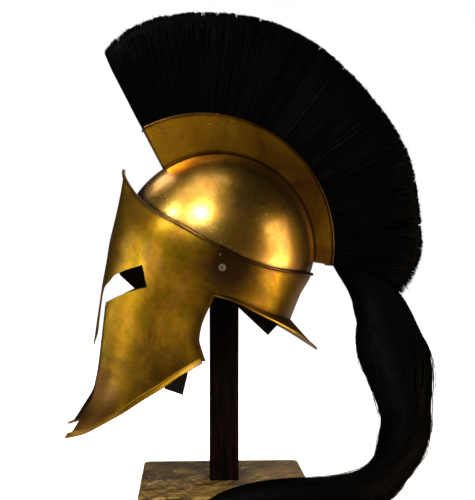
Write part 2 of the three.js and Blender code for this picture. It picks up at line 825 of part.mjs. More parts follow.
// Hair tail: hangs from the brush's rear end to the table and lies round the front of the base.
function crestTail() {
  const endHeight = onCrest(crestEnd, crestRadius).z;
  const rootTurn = crestEnd - brushEndGap() + (2 * touchGap) / crestRadius / degrees;
  const root = onCrest(rootTurn, crestRadius + 2 * crestBead + tailRun[0].broad * tailBroad);
  const rootWay = onCrest(rootTurn + 90, 1).sub(onCrest(rootTurn + 90, 0));
  const knots = tailRun.map((row, i) =>
    i ? V(row.side * tailSide, row.back * tailBack, row.level * endHeight) : root,
  );
  const path = new THREE.CatmullRomCurve3(knots, false, "centripetal");
  const steps = 24;
  const widths = ["broad", "thick"].map((column) =>
    spline(
      tailRun.map((_, i) => i / (tailRun.length - 1)),
      tailRun.map((row) => row[column] * tailBroad),
    ),
  );
  const sides = 2 * tailLocks;
  const rings = Array.from({ length: steps + 1 }, (_, i) => {
    const t = i / steps;
    const at = path.getPoint(t);
    const run = rootWay.clone().lerp(path.getTangent(t), Math.min(t / 0.09, 1)).normalize();
    const blend = Math.min(Math.max((t - 0.42) / 0.3, 0), 1);
    const out = V(0, 1, 0).lerp(V(1, 0, 0), blend).normalize();
    const broadWay = out.addScaledVector(run, -out.dot(run)).normalize();
    const thickWay = run.clone().cross(broadWay).normalize();
    return Array.from({ length: sides }, (_, j) => {
      const turn = (2 * Math.PI * j) / sides;
      const lobe = 1 - (j % 2 ? tailLockDepth : 0);
      const p = at
        .clone()
        .addScaledVector(broadWay, widths[0](t) * lobe * Math.cos(turn))
        .addScaledVector(thickWay, widths[1](t) * lobe * Math.sin(turn));
      p.z = Math.max(p.z, 0);
      return p;
    });
  });
  return loft(rings);
}

// Where the straps are riveted flat against the inside of the skull, out from the plane of symmetry.
function strapSeat() {
  const [y, z] = [skullY - rivetForward - strapWidth / 2, skullZ - rivetDrop - strapTop];
  const level = 1 - ((z - skullZ) / skullUnder) ** 2 - ((y - skullY) / (skullLength / 2)) ** 2;
  return (skullWidth / 2) * Math.sqrt(level) - sheet - seatGap;
}

// Chin strap: a leather strip, flat at its rivet, that swings in clear of the cheek and hangs down.
function chinStrap(side, length, lean, endReach, bow) {
  const { at } = rivetSpot(1);
  const way = [-Math.sin(lean * degrees), -Math.cos(lean * degrees)];
  const across = [-way[1], way[0]];
  const flat = rivetHead + touchGap;
  const seat = strapSeat();
  const steps = 12;
  const stations = [[-strapTop, 0]];
  for (let i = 0; i <= steps; i++) {
    stations.push([flat + (length - flat) * (i / steps) ** 2, i / steps]);
  }
  const rings = stations.map(([along, swing]) => {
    const x = seat - (seat - endReach) * swing;
    const bent = bow * Math.sin((Math.PI * Math.max(0, along)) / length) ** 2;
    const place = (offset, reach) => {
      const sideways = offset - bent;
      const y = at.y + way[0] * along + across[0] * sideways;
      return V(side * reach, y, at.z + way[1] * along + across[1] * sideways);
    };
    const half = strapWidth / 2;
    return [place(-half, x), place(half, x), place(half, x - strapThick), place(-half, x - strapThick)];
  });
  return cutAll(loft(rings), rivetHoles());
}

// Leather pad inside the wearer's right temple.
function templePad() {
  const outline = padOutline.map((row) => [placeY(row.fore), placeZ(row.rise)]);
  const rows = 6;
  const low = placeZ(-0.24);
  const high = placeZ(-0.03);
  const slice = (out) => (z) =>
    [20, 28, 36, 44, 52, 62].map((b) => onFace(-b * degrees, z, out));
  const levels = Array.from({ length: rows + 1 }, (_, i) => low + ((high - low) * i) / rows);
  const sheetRings = levels.map((z) => [
    ...slice(-sheet - padGap)(z),
    ...slice(-sheet - padGap - padThick)(z).reverse(),
  ]);
  return loft(sheetRings).intersect(sidePrism(outline, wayOut));
}

// Tubular rivet: a collar with a rolled head on each side of what it holds.
function templeRivet(side) {
  const { at, axis } = rivetSpot(side);
  const grip = Math.abs(at.x) - strapSeat() + strapThick + 3 * touchGap;
  const outside = touchGap;
  const body = peg(at, axis, rivetHead, outside, outside + rivetHeadThick, 12)
    .add(peg(at, axis, rivetShank, -grip - rivetHeadThick / 2, outside + rivetHeadThick / 2, 12))
    .add(peg(at, axis, rivetHead, -grip - rivetHeadThick, -grip, 12));
  return body.subtract(peg(at, axis, rivetBore, -2 * grip, 2 * grip, 8));
}

// Small pin beside the rim: a low head outside and a shank through the sheet.
function rimPin(side, pin) {
  const { at, axis } = pinPlace(side, pin);
  const head = new THREE.CylinderGeometry(0.6 * pinHead, pinHead, pinHeadThick, 8);
  head.applyQuaternion(new THREE.Quaternion().setFromUnitVectors(V(0, 1, 0), axis));
  const seat = at.clone().addScaledVector(axis, touchGap + pinHeadThick / 2);
  head.translate(seat.x, seat.y, seat.z);
  return solid(head).add(peg(at, axis, pinShank, -sheet - touchGap, touchGap + 0.4, 8));
}

// Stand: a square base with eased edges and a square post shaped at the top to the inside of the skull.
function standBase() {
  const half = baseSide / 2 - baseEase;
  const r = baseCorner - baseEase;
  const shape = new THREE.Shape();
  shape.moveTo(-half + r, -half);
  shape.lineTo(half - r, -half);
  shape.absarc(half - r, -half + r, r, -Math.PI / 2, 0);
  shape.lineTo(half, half - r);
  shape.absarc(half - r, half - r, r, 0, Math.PI / 2);
  shape.lineTo(-half + r, half);
  shape.absarc(-half + r, half - r, r, Math.PI / 2, Math.PI);
  shape.lineTo(-half, -half + r);
  shape.absarc(-half + r, -half + r, r, Math.PI, 1.5 * Math.PI);
  const geometry = new THREE.ExtrudeGeometry(shape, {
    depth: baseThick - 2 * baseEase,
    bevelThickness: baseEase,
    bevelSize: baseEase,
    bevelSegments: 1,
    curveSegments: 5,
  });
  geometry.translate(0, 0, baseEase);
  return solid(geometry.rotateZ(standTurn * degrees));
}

function standPost() {
  const low = baseThick + touchGap;
  const geometry = new THREE.BoxGeometry(postSide, postSide, crownHeight - low);
  geometry.translate(0, 0, (crownHeight + low) / 2);
  return solid(geometry.rotateZ(standTurn * degrees)).intersect(
    skullSolid(-sheet - touchGap).add(belowSkull()),
  );
}

// Room for the post below the skull's middle, where nothing trims it.
function belowSkull() {
  const geometry = new THREE.BoxGeometry(3 * postSide, 3 * postSide, skullZ);
  geometry.translate(0, 0, skullZ / 2);
  return solid(geometry);
}

const brass = new THREE.MeshStandardMaterial({ color: 0x9a6f24, roughness: 0.34, metalness: 1 });
const steel = new THREE.MeshStandardMaterial({ color: 0xb9b4a8, roughness: 0.4, metalness: 1 });
const hair = new THREE.MeshStandardMaterial({ color: 0x060606, roughness: 0.6, metalness: 0 });
const leather = new THREE.MeshStandardMaterial({ color: 0x14100d, roughness: 0.7, metalness: 0 });
const darkWood = new THREE.MeshStandardMaterial({ color: 0x1c0d08, roughness: 0.5, metalness: 0 });
const baseWood = new THREE.MeshStandardMaterial({ color: 0x6e5230, roughness: 0.6, metalness: 0 });

const helmet = new THREE.Group();
helmet.add(
  named("skull_dome", skullDome(), brass),
  named("face_mask", faceMask(), brass),
  named("crest_box", crestBox(), brass),
  named("crest_brush", crestBrush(), hair),
  named("crest_tail", crestTail(), hair),
  named("chin_strap_left", chinStrap(1, leftStrapLength, leftStrapLean, leftStrapEnd, leftStrapBow), leather),
  named("chin_strap_right", chinStrap(-1, rightStrapLength, rightStrapLean, rightStrapEnd, 0), leather),
  named("temple_pad_right", templePad(), leather),
);
for (const [side, word] of [
  [1, "left"],
  [-1, "right"],
]) {
  helmet.add(named(`temple_rivet_${word}`, templeRivet(side), steel));
  for (const pin of pinSpots)
    helmet.add(named(`rim_pin_${word}_${pin.name}`, rimPin(side, pin), steel));
}

const stand = new THREE.Group();
stand.add(
  named("stand_base", standBase(), baseWood),
  named("stand_post", standPost(), darkWood),
);

const part = new THREE.Group();
part.add(helmet, stand);
export default part;
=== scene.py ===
import math

import bpy
import numpy as np
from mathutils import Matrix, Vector


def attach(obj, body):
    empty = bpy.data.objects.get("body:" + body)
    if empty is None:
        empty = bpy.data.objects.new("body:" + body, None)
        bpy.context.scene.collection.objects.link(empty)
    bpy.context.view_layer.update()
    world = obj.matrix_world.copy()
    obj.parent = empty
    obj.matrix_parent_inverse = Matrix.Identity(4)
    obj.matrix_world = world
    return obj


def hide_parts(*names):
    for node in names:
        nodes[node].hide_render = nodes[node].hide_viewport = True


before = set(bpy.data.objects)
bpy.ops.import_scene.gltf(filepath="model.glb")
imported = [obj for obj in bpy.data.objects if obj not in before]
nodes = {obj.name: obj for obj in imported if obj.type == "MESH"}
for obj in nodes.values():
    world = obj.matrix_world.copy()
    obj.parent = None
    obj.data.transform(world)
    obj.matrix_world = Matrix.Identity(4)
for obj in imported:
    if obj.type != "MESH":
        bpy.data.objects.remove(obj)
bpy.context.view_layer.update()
mm = 0.001


# Antique brass
# The helmet is hand-raised sheet brass that was darkened with a patina and rubbed back. The brown lies in
# patches, with greener and redder spots, fine scratches, small pits and shallow hammer marks.
def new_group(name, inputs, outputs):
    group = bpy.data.node_groups.new(name, "ShaderNodeTree")
    for label, kind, value in inputs:
        socket = group.interface.new_socket(name=label, in_out="INPUT", socket_type=kind)
        if value is not None:
            socket.default_value = value
    for label, kind in outputs:
        group.interface.new_socket(name=label, in_out="OUTPUT", socket_type=kind)
    return group, group.nodes.new("NodeGroupInput"), group.nodes.new("NodeGroupOutput")


def add_node(tree, kind, **settings):
    node = tree.nodes.new(kind)
    for key, value in settings.items():
        if hasattr(node, key):
            setattr(node, key, value)
        else:
            node.inputs[key.replace("_", " ")].default_value = value
    return node


def link(tree, source, target):
    tree.links.new(source, target)


def texture(tree, kind, place, **settings):
    node = add_node(tree, kind, **settings)
    link(tree, place, node.inputs["Vector"])
    return node


def scaled_sum(tree, source, by, plus):
    node = add_node(tree, "ShaderNodeMath", operation="MULTIPLY_ADD")
    link(tree, source, node.inputs[0])
    node.inputs[1].default_value = by
    if isinstance(plus, bpy.types.NodeSocket):
        link(tree, plus, node.inputs[2])
    else:
        node.inputs[2].default_value = plus
    return node.outputs[0]


def mix_colours(tree, factor, first, second, blend="MIX"):
    mix = tree.nodes.new("ShaderNodeMix")
    mix.data_type = "RGBA"
    mix.blend_type = blend
    for socket, value in zip((mix.inputs[0], mix.inputs[6], mix.inputs[7]), (factor, first, second)):
        if isinstance(value, bpy.types.NodeSocket):
            link(tree, value, socket)
        else:
            socket.default_value = value
    return mix.outputs[2]


def ramp(tree, source, stops):
    node = tree.nodes.new("ShaderNodeValToRGB")
    elements = node.color_ramp.elements
    while len(elements) < len(stops):
        elements.new(0.5)
    for element, (place, value) in zip(elements, stops):
        element.position = place
        element.color = value if len(value) == 4 else (*value, 1.0)
    link(tree, source, node.inputs[0])
    return node.outputs[0]


def grey(value):
    return (value, value, value, 1.0)


def worn_surface():
    """Noise, scratches and pits over a surface, from a place on it: masks, and a height for bump."""
    group, given, result = new_group(
        "Worn Surface",
        [("Place", "NodeSocketVector", None), ("Patch Size", "NodeSocketFloat", 14.0),
         ("Scratch Size", "NodeSocketFloat", 60.0), ("Pit Size", "NodeSocketFloat", 260.0)],
        [("Patches", "NodeSocketFloat"), ("Blotches", "NodeSocketFloat"), ("Scratches", "NodeSocketFloat"),
         ("Pits", "NodeSocketFloat"), ("Height", "NodeSocketFloat")],
    )
    place = given.outputs["Place"]
    patches = texture(group, "ShaderNodeTexNoise", place, Detail=7.0, Roughness=0.62, Distortion=0.5)
    blotches = texture(group, "ShaderNodeTexNoise", place, Scale=52.0, Detail=6.0, Roughness=0.7)
    pits = texture(group, "ShaderNodeTexVoronoi", place, Randomness=1.0)
    few = texture(group, "ShaderNodeTexNoise", place, Scale=38.0, Detail=2.0)
    dents = texture(group, "ShaderNodeTexNoise", place, Scale=30.0, Detail=1.5, Roughness=0.4)
    stretch = texture(group, "ShaderNodeMapping", place, Rotation=(0.35, 0.15, 0.6), Scale=(1.0, 1.0, 14.0))
    scratches = texture(
        group, "ShaderNodeTexNoise", stretch.outputs[0], Detail=5.0, Roughness=0.75, Distortion=0.9)
    link(group, given.outputs["Patch Size"], patches.inputs["Scale"])
    link(group, given.outputs["Scratch Size"], scratches.inputs["Scale"])
    link(group, given.outputs["Pit Size"], pits.inputs["Scale"])
    pit_shape = ramp(group, pits.outputs["Distance"], [(0.0, grey(1.0)), (0.2, grey(0.0))])
    pit_places = ramp(group, few.outputs["Fac"], [(0.5, grey(0.0)), (0.62, grey(1.0))])
    pit_mask = mix_colours(group, 1.0, pit_shape, pit_places, "MULTIPLY")
    line_mask = ramp(group, scratches.outputs["Fac"], [(0.6, grey(0.0)), (0.72, grey(1.0))])
    low = scaled_sum(group, pit_mask, -0.5, dents.outputs["Fac"])
    link(group, patches.outputs["Fac"], result.inputs["Patches"])
    link(group, blotches.outputs["Fac"], result.inputs["Blotches"])
    link(group, line_mask, result.inputs["Scratches"])
    link(group, pit_mask, result.inputs["Pits"])
    link(group, scaled_sum(group, line_mask, -0.06, low), result.inputs["Height"])
    return group


wear = worn_surface()


def worn(tree, place, **sizes):
    marks = add_node(tree, "ShaderNodeGroup", node_tree=wear, **sizes)
    link(tree, place, marks.inputs["Place"])
    return marks


def new_material(name, base, roughness, metallic=0.0):
    material = bpy.data.materials.new(name)
    material.use_nodes = True
    tree = material.node_tree
    surface = tree.nodes["Principled BSDF"]
    surface.inputs["Base Color"].default_value = (*base, 1.0)
    surface.inputs["Roughness"].default_value = roughness
    surface.inputs["Metallic"].default_value = metallic
    place = tree.nodes.new("ShaderNodeTexCoord").outputs["Object"]
    return material, tree, surface, place


def bump(tree, surface, height, distance, strength=1.0):
    node = add_node(tree, "ShaderNodeBump", Distance=distance, Strength=strength)
    link(tree, height, node.inputs["Height"])
    link(tree, node.outputs[0], surface.inputs["Normal"])


def antique_brass(name, gold, brown, olive, rough, lacquer):
    """Brass with a brown and olive patina. A per-corner attribute paints shade into it: darker brass with a
    rougher finish where shade and dark reflections are painted, broken up by the patches.
    """
    material, tree, surface, place = new_material(name, gold, rough, 1.0)
    marks = worn(tree, place)
    brown_mask = ramp(tree, marks.outputs["Patches"], [(0.38, grey(0.0)), (0.62, grey(1.0))])
    colour = mix_colours(tree, brown_mask, (*gold, 1.0), (*brown, 1.0))
    olive_mask = ramp(tree, marks.outputs["Blotches"], [(0.46, grey(0.0)), (0.68, grey(0.75))])
    colour = mix_colours(tree, olive_mask, colour, (*olive, 1.0))
    rust = texture(tree, "ShaderNodeTexNoise", place, Scale=23.0, Detail=6.0, Roughness=0.6, Distortion=1.0)
    rust_mask = ramp(tree, rust.outputs["Fac"], [(0.53, grey(0.0)), (0.67, grey(0.4))])
    colour = mix_colours(tree, rust_mask, colour, (0.3, 0.1, 0.035, 1.0))
    faint = ramp(tree, marks.outputs["Scratches"], [(0.0, grey(0.0)), (1.0, grey(0.3))])
    colour = mix_colours(tree, faint, colour, (0.7, 0.48, 0.2, 1.0))
    colour = mix_colours(tree, marks.outputs["Pits"], colour, (0.08, 0.035, 0.015, 1.0))
    # Painted shade: the attribute set on each piece, broken up by the brown patches, mixes in this near-black
    # brown.
    shade_attribute = tree.nodes.new("ShaderNodeAttribute")
    shade_attribute.attribute_name = "painted_shade"
    torn = scaled_sum(tree, marks.outputs["Patches"], 0.5, -0.25)
    spread = scaled_sum(tree, shade_attribute.outputs["Fac"], 1.0, torn)
    shade_mask = ramp(tree, spread, [(0.04, grey(0.0)), (0.8, grey(0.94))])
    colour = mix_colours(tree, shade_mask, colour, (0.024, 0.0095, 0.003, 1.0))
    link(tree, colour, surface.inputs["Base Color"])
    shine = ramp(tree, marks.outputs["Patches"], [(0.3, grey(rough - 0.04)), (0.7, grey(rough + 0.12))])
    shine = mix_colours(tree, marks.outputs["Pits"], shine, grey(0.7))
    shine = mix_colours(tree, shade_mask, shine, grey(rough + 0.1))
    link(tree, shine, surface.inputs["Roughness"])
    surface.inputs["Coat Weight"].default_value = lacquer
    surface.inputs["Coat Roughness"].default_value = 0.22
    bump(tree, surface, marks.outputs["Height"], 0.0009, 0.55)
    return material


# Stores each corner's painted shade, from 0 (none) to 1.
def set_painted_shade(piece, values):
    layer = piece.data.attributes.new("painted_shade", "FLOAT", "POINT")
    layer.data.foreach_set("value", np.ascontiguousarray(values, dtype=np.float32))


bowl_brass = antique_brass(
    "Polished Brass", (0.64, 0.375, 0.06), (0.3, 0.14, 0.01), (0.29, 0.195, 0.012), 0.24, 0.4)
brass = antique_brass(
    "Antique Brass", (0.37, 0.205, 0.007), (0.13, 0.054, 0.001), (0.14, 0.104, 0.002), 0.33, 0.06)
dark_brass = antique_brass(
    "Darkened Brass", (0.46, 0.25, 0.04), (0.15, 0.055, 0.008), (0.16, 0.095, 0.012), 0.2, 0.12)
crest_brass = antique_brass(
    "Brown Brass", (0.7, 0.34, 0.012), (0.4, 0.165, 0.003), (0.42, 0.25, 0.006), 0.32, 0.04)


# Skull
# The bowl is one piece of brass raised over a stake, longer than it is wide and drawn in below the temples.
# A grid wraps its form from just under the face sheet's edge to the crown, and gets the sheet's thickness.
skull_length, skull_width, skull_under = 244.0, 200.0, 95.0
crown_height, skull_forward, sheet_thick = 427.0, 8.5, 1.5
skull_y, skull_z = -skull_forward, crown_height - skull_length / 2


def deselect():
    if bpy.context.object and bpy.context.object.mode != "OBJECT":
        bpy.ops.object.mode_set(mode="OBJECT")
    bpy.ops.object.select_all(action="DESELECT")


def make_active(piece):
    deselect()
    piece.select_set(True)
    bpy.context.view_layer.objects.active = piece


def apply_modifier(piece, kind, **settings):
    make_active(piece)
    modifier = piece.modifiers.new(kind.title(), kind)
    for key, value in settings.items():
        setattr(modifier, key, value)
    bpy.ops.object.modifier_apply(modifier=modifier.name)


def edit_mesh(piece, *tools):
    """Runs some of Blender's mesh tools, each on the whole piece."""
    make_active(piece)
    bpy.ops.object.mode_set(mode="EDIT")
    for tool in tools:
        bpy.ops.mesh.select_all(action="SELECT")
        tool()
    bpy.ops.object.mode_set(mode="OBJECT")


def merge_corners():
    bpy.ops.mesh.remove_doubles(threshold=1e-6)


def turn_out():
    bpy.ops.mesh.normals_make_consistent(inside=False)


def corners(piece):
    """Where the corners of a mesh are, in millimetres."""
    flat = np.empty(len(piece.data.vertices) * 3)
    piece.data.vertices.foreach_get("co", flat)
    return flat.reshape(-1, 3) / mm


def shaped_grid(name, columns, rows, place, closed=False):
    """A grid primitive whose corners go where place(u, v) says, both from 0 to 1, in millimetres."""
    deselect()
    bpy.ops.mesh.primitive_grid_add(x_subdivisions=columns, y_subdivisions=rows, size=1.0)
    piece = bpy.context.object
    piece.name = piece.data.name = name
    flat = np.empty(len(piece.data.vertices) * 3)
    piece.data.vertices.foreach_get("co", flat)
    flat = flat.reshape(-1, 3)
    spots = place(np.clip(flat[:, 0] + 0.5, 0, 1), np.clip(flat[:, 1] + 0.5, 0, 1)) * mm
    piece.data.vertices.foreach_set("co", spots.ravel())
    piece.data.update()
    if closed:
        edit_mesh(piece, merge_corners)
    return piece


def face_away(piece, centre):
    """Turns an open sheet so that its faces point away from a place inside it."""
    middles = np.array([f.center for f in piece.data.polygons])
    normals = np.array([f.normal for f in piece.data.polygons])
    if ((middles - np.array(centre) * mm) * normals).sum() < 0:
        edit_mesh(piece, bpy.ops.mesh.flip_normals)


def finish(piece, material, slot_name, *replaced, angle=40):
    if not piece.data.materials:
        piece.data.materials.append(material)
    make_active(piece)
    bpy.ops.object.shade_smooth_by_angle(angle=math.radians(angle))
    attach(piece, "root")
    if replaced:
        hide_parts(*replaced)


def along(xs, ys, zs):
    return np.stack(np.broadcast_arrays(xs, ys, zs), axis=-1)


def smooth_through(knots, values):
    """The natural cubic spline through some values, as a function."""
    x, y = np.asarray(knots, float), np.asarray(values, float)
    count, h = len(x), np.diff(x)
    system, slopes = np.eye(count), np.zeros(count)
    for i in range(1, count - 1):
        system[i, i - 1:i + 2] = h[i - 1], 2 * (h[i - 1] + h[i]), h[i]
        slopes[i] = 6 * ((y[i + 1] - y[i]) / h[i] - (y[i] - y[i - 1]) / h[i - 1])
    bend = np.linalg.solve(system, slopes)

    def value(q):
        q = np.asarray(q, float)
        i = np.clip(np.searchsorted(x, q) - 1, 0, count - 2)
        b = (q - x[i]) / h[i]
        a = 1 - b
        sag = ((a**3 - a) * bend[i] + (b**3 - b) * bend[i + 1]) * h[i] ** 2
        return a * y[i] + b * y[i + 1] + sag / 6

    return value


def skull_radius(bearing, z):
    rise = z - skull_z
    half = np.where(rise > 0, skull_length / 2, skull_under)
    level = np.clip(1 - (rise / half) ** 2, 0, 1)
    ahead, aside = np.cos(bearing) * 2 / skull_length, np.sin(bearing) * 2 / skull_width
    return np.sqrt(level / (ahead**2 + aside**2))


skirt = smooth_through(
    [-142.7, -76.8, -37.8, -14.1, 20.8, 59.8, 125.7],
    [330.5, 320.6, 300.3, 273.6, 262.4, 252.4, 246.8],
)


def on_skull(u, v):
    """u goes round from the nose, v from the lower edge (0) over to the crown (1)."""
    turn = u * 2 * math.pi
    y_edge = skull_y - np.cos(turn) * skull_length * 0.49
    for _ in range(6):
        z_edge = skirt(y_edge)
        y_edge = skull_y - skull_radius(turn, z_edge) * np.cos(turn)
    low = (z_edge - skull_z) / np.where(z_edge > skull_z, skull_length / 2, skull_under)
    tilt = np.arcsin(np.clip(low, -1, 1)) * (1 - v) + v * math.pi / 2
    z = skull_z + np.sin(tilt) * np.where(tilt > 0, skull_length / 2, skull_under)
    level = np.cos(tilt) * skull_width / 2 / np.hypot(np.cos(turn) * skull_width / skull_length, np.sin(turn))
    return along(level * np.sin(turn), skull_y - level * np.cos(turn), z)


skull = shaped_grid("skull_bowl", 120, 56, on_skull, closed=True)
face_away(skull, (0, skull_y, skull_z))
apply_modifier(skull, "SOLIDIFY", thickness=sheet_thick * mm, offset=-1)
finish(skull, bowl_brass, "brass", "skull_dome", angle=50)


# Face sheet
# Brow, nose piece, cheeks and neck are one sheet bent round the skull, cut out for the eyes and the mouth.
# Its level sections are ovals, and it lies on the skull wherever it would cut into it.
face_reach, peak_rise, chin_drop, nasal_half = 141.3, 99.0, 223.0, 13.5
seat_gap, blend_width = 0.6, 2.0
tool_reach, nose_depth = 0.4, 0.08  # metres


def place_y(fore):
    fore = np.asarray(fore, float)
    return skull_y - fore * np.where(fore >= 0, face_reach, skull_length / 2)


def place_z(rise):
    rise = np.asarray(rise, float)
    return skull_z + rise * np.where(rise >= 0, peak_rise, chin_drop)


face_sections = [  # rise, front, half width, back
    (-1.0, 1.578, 0.795, 0.62), (-0.919, 1.405, 0.79, 0.62), (-0.789, 1.21, 0.79, 0.63),
    (-0.646, 1.124, 0.81, 0.645), (-0.511, 1.082, 0.845, 0.68), (-0.381, 1.052, 0.885, 0.75),
    (-0.278, 1.028, 0.93, 0.825), (-0.161, 1.0, 0.985, 0.9), (-0.05, 0.968, 1.015, 0.94),
    (0.131, 0.94, 1.01, 0.95), (0.303, 0.911, 0.965, 0.93), (0.495, 0.88, 0.84, 0.85),
    (0.737, 0.846, 0.61, 0.7), (1.0, 0.817, 0.42, 0.6),
]
section_z = [float(place_z(row[0])) for row in face_sections]
face_front, face_half, face_back = (
    smooth_through(section_z, [row[i] * size for row in face_sections])
    for i, size in ((1, face_reach), (2, skull_width / 2), (3, skull_length / 2))
)


def by_bearing(rows, column, as_height=False):
    """A column of a table by bearing, the same on both sides of the helmet."""
    both = rows + [(360 - row[0], *row[1:]) for row in rows[-2::-1]]
    values = [float(place_z(row[column])) if as_height else row[column] for row in both]
    return smooth_through([row[0] for row in both], values)


rim_edge = [  # bearing, rise
    (0, 1.0), (15, 0.737), (36, 0.505), (58, 0.313), (80, 0.091), (105, -0.055), (134, -0.11), (180, -0.132),
]
rim_z = by_bearing(rim_edge, 1, True)
neck_edge = [  # bearing, rise, flange out, flange down
    (80, -0.2215, 0.06, 0.05), (95, -0.248, 0.15, 0.1), (109, -0.287, 0.23, 0.18), (125, -0.329, 0.36, 0.28),
    (147, -0.3645, 0.66, 0.58), (165, -0.381, 0.9, 0.87), (180, -0.3855, 1.0, 1.0),
]
neck_z, neck_out, neck_down = (by_bearing(neck_edge, i, i == 1) for i in (1, 2, 3))


def face_radius(bearing, z):
    ahead = np.cos(bearing)
    reach = np.where(ahead > 0, face_front(z), face_back(z))
    own = 1 / np.hypot(ahead / reach, np.sin(bearing) / face_half(z))
    seated = skull_radius(bearing, z) + seat_gap + sheet_thick
    return (own + seated + np.hypot(own - seated, blend_width)) / 2


def on_face(bearing, z, out=0.0):
    """bearing is in degrees round from the nose."""
    turn = np.radians(bearing)
    radius = face_radius(turn, z) + out
    return along(radius * np.sin(turn), skull_y - radius * np.cos(turn), z)


def face_sheet_place(u, v):
    bearing = u * 360
    top = rim_z(bearing)
    return on_face(bearing, top + (float(place_z(-1.04)) - top) * v)


def side_curve(rows, steps):
    """A smooth line of (y, z) through a side outline."""
    points = np.array([(float(place_y(f)), float(place_z(r))) for f, r in rows])
    run = np.arange(len(points))
    t = np.linspace(0, len(points) - 1, steps)
    return np.stack([smooth_through(run, points[:, 0])(t), smooth_through(run, points[:, 1])(t)], axis=1)


def prism(name, outline, way):
    """A solid through an outline: (y, z) pairs run across the helmet, (x, z) pairs from front to back."""
    deselect()
    bpy.ops.mesh.primitive_circle_add(vertices=len(outline), fill_type="NGON")
    piece = bpy.context.object
    piece.name = name
    for vertex, (a, b) in zip(piece.data.vertices, outline):
        vertex.co = (-tool_reach, a * mm, b * mm) if way == "across" else (a * mm, -tool_reach, b * mm)
    move = (2 * tool_reach, 0, 0) if way == "across" else (0, tool_reach - nose_depth, 0)

    def sweep():
        bpy.ops.mesh.extrude_region_move(TRANSFORM_OT_translate={"value": move})

    edit_mesh(piece, sweep, turn_out)
    return piece


def cut(piece, tool):
    apply_modifier(piece, "BOOLEAN", operation="DIFFERENCE", object=tool, solver="EXACT")


def discard(*tools):
    for tool in tools:
        bpy.data.objects.remove(tool, do_unlink=True)


eye_top = [(1.05, -0.185), (0.985, -0.168), (0.87, -0.117), (0.683, -0.073)]
eye_bottom = [(0.645, -0.19), (0.741, -0.206), (0.87, -0.238), (0.9745, -0.277)]
cheek_front = [
    (0.9745, -0.277), (1.005, -0.447), (1.0255, -0.561), (1.0425, -0.6466), (1.065, -0.7265),
    (1.0934, -0.789), (1.149, -0.847), (1.216, -0.918), (1.3036, -1.0),
]
cheek_lower = [
    (0.192, -0.584), (0.373, -0.654), (0.5046, -0.714), (0.646, -0.773), (0.808, -0.845), (0.918, -0.889),
    (1.081, -0.949), (1.1925, -0.981), (1.3036, -1.0),
]
cheek_rear = [
    (0.12, -0.2215), (0.165, -0.2816), (0.212, -0.35), (0.235, -0.402), (0.247, -0.457), (0.2345, -0.504),
    (0.192, -0.584),
]
nasal_outline = [
    (3.2, -0.1), (2.1, -0.165), (1.05, -0.205), (0.78, -0.28), (0.9, -0.36), (1.0, -0.43), (0.85, -0.465),
    (0.1, -0.512),
]
ahead_of_all = float(place_y(1.9))
opening_line = [
    (ahead_of_all, float(place_z(-0.21))), *side_curve(eye_top, 14), *side_curve(eye_bottom, 14),
    *side_curve(cheek_front, 40)[1:], (float(place_y(1.3036)), float(place_z(-1.1))),
    (ahead_of_all, float(place_z(-1.1))),
]
nasal = np.array(nasal_outline)
nasal_run = np.arange(len(nasal))
nasal_t = np.linspace(0, len(nasal) - 1, 40)
nasal_x = smooth_through(nasal_run, nasal[:, 0] * nasal_half)(nasal_t)
nasal_z = smooth_through(nasal_run, place_z(nasal[:, 1]))(nasal_t)
nose_line = [*zip(nasal_x, nasal_z), *zip(-nasal_x[::-1], nasal_z[::-1])]

hem_wide, hem_lean, curl_wide, curl_turn = 6.5, 42.0, 7.0, 52.0


def moved_line(line, distance):
    """A (y, z) line moved square to its run."""
    run = np.gradient(line, axis=0)
    run /= np.hypot(*run.T)[:, None]
    share = np.linspace(0, 1, len(line))
    by = distance(share) if callable(distance) else distance
    return line + np.stack([-run[:, 1], run[:, 0]], axis=1) * np.broadcast_to(by, share.shape)[:, None]


def hem_width(share):
    return hem_wide * (1 + 0.45 * share**3)


def hem_depth(share):
    return -hem_width(share) * math.cos(math.radians(hem_lean))


rear_curve = side_curve(cheek_rear, 28)
rear_line = moved_line(rear_curve, curl_wide * math.cos(math.radians(curl_turn)))
lower_line = moved_line(side_curve(cheek_lower, 40), hem_depth)
behind = 400.0
below_cheek_line = [
    (float(place_y(0.04)), float(place_z(-0.25))), *rear_line, *lower_line[1:],
    (lower_line[-1][0] - 5, float(place_z(-1.1))), (behind, float(place_z(-1.1))),
    (behind, float(place_z(-0.41))), (float(place_y(0.04)), float(place_z(-0.41))),
]
ear_bearing, far_eye_drop = 81.0, 8.0


def below_neck_place(u, v):
    """A wall of space below the neck's edge: v goes round its section."""
    bearing = ear_bearing + (360 - 2 * ear_bearing) * u
    turn = np.radians(bearing)
    corner = np.rint(v * 4).astype(int) % 4
    radius = np.where((corner == 1) | (corner == 2), skull_length, 20.0)
    z = np.where(corner >= 2, neck_z(bearing), float(place_z(-1.1)))
    return along(radius * np.sin(turn), skull_y - radius * np.cos(turn), z)


def fill_ends():
    bpy.ops.mesh.select_all(action="DESELECT")
    bpy.ops.mesh.select_non_manifold()
    bpy.ops.mesh.edge_face_add()


face = shaped_grid("face_sheet", 200, 130, face_sheet_place, closed=True)
face_away(face, (0, skull_y, 200))
apply_modifier(face, "SOLIDIFY", thickness=sheet_thick * mm, offset=-1)
opening = prism("opening", opening_line, "across")
nose = prism("nose", nose_line, "back")
cut(opening, nose)
cut(face, opening)
far_edge = side_curve(eye_bottom, 14)
far_lower = far_edge.copy()
far_lower[:, 1] -= far_eye_drop * np.linspace(0.4, 1, 14)
far_eye = prism("far_eye", [*far_edge, *far_lower[::-1]], "across")
far_eye.location.x = -tool_reach
cut(face, far_eye)
below_cheek = prism("below_cheek", below_cheek_line, "across")
cut(face, below_cheek)
below_neck = shaped_grid("below_neck", 40, 4, below_neck_place)
edit_mesh(below_neck, merge_corners, fill_ends, turn_out)
cut(face, below_neck)
discard(opening, nose, far_eye, below_cheek, below_neck)
face.data.materials.append(brass)


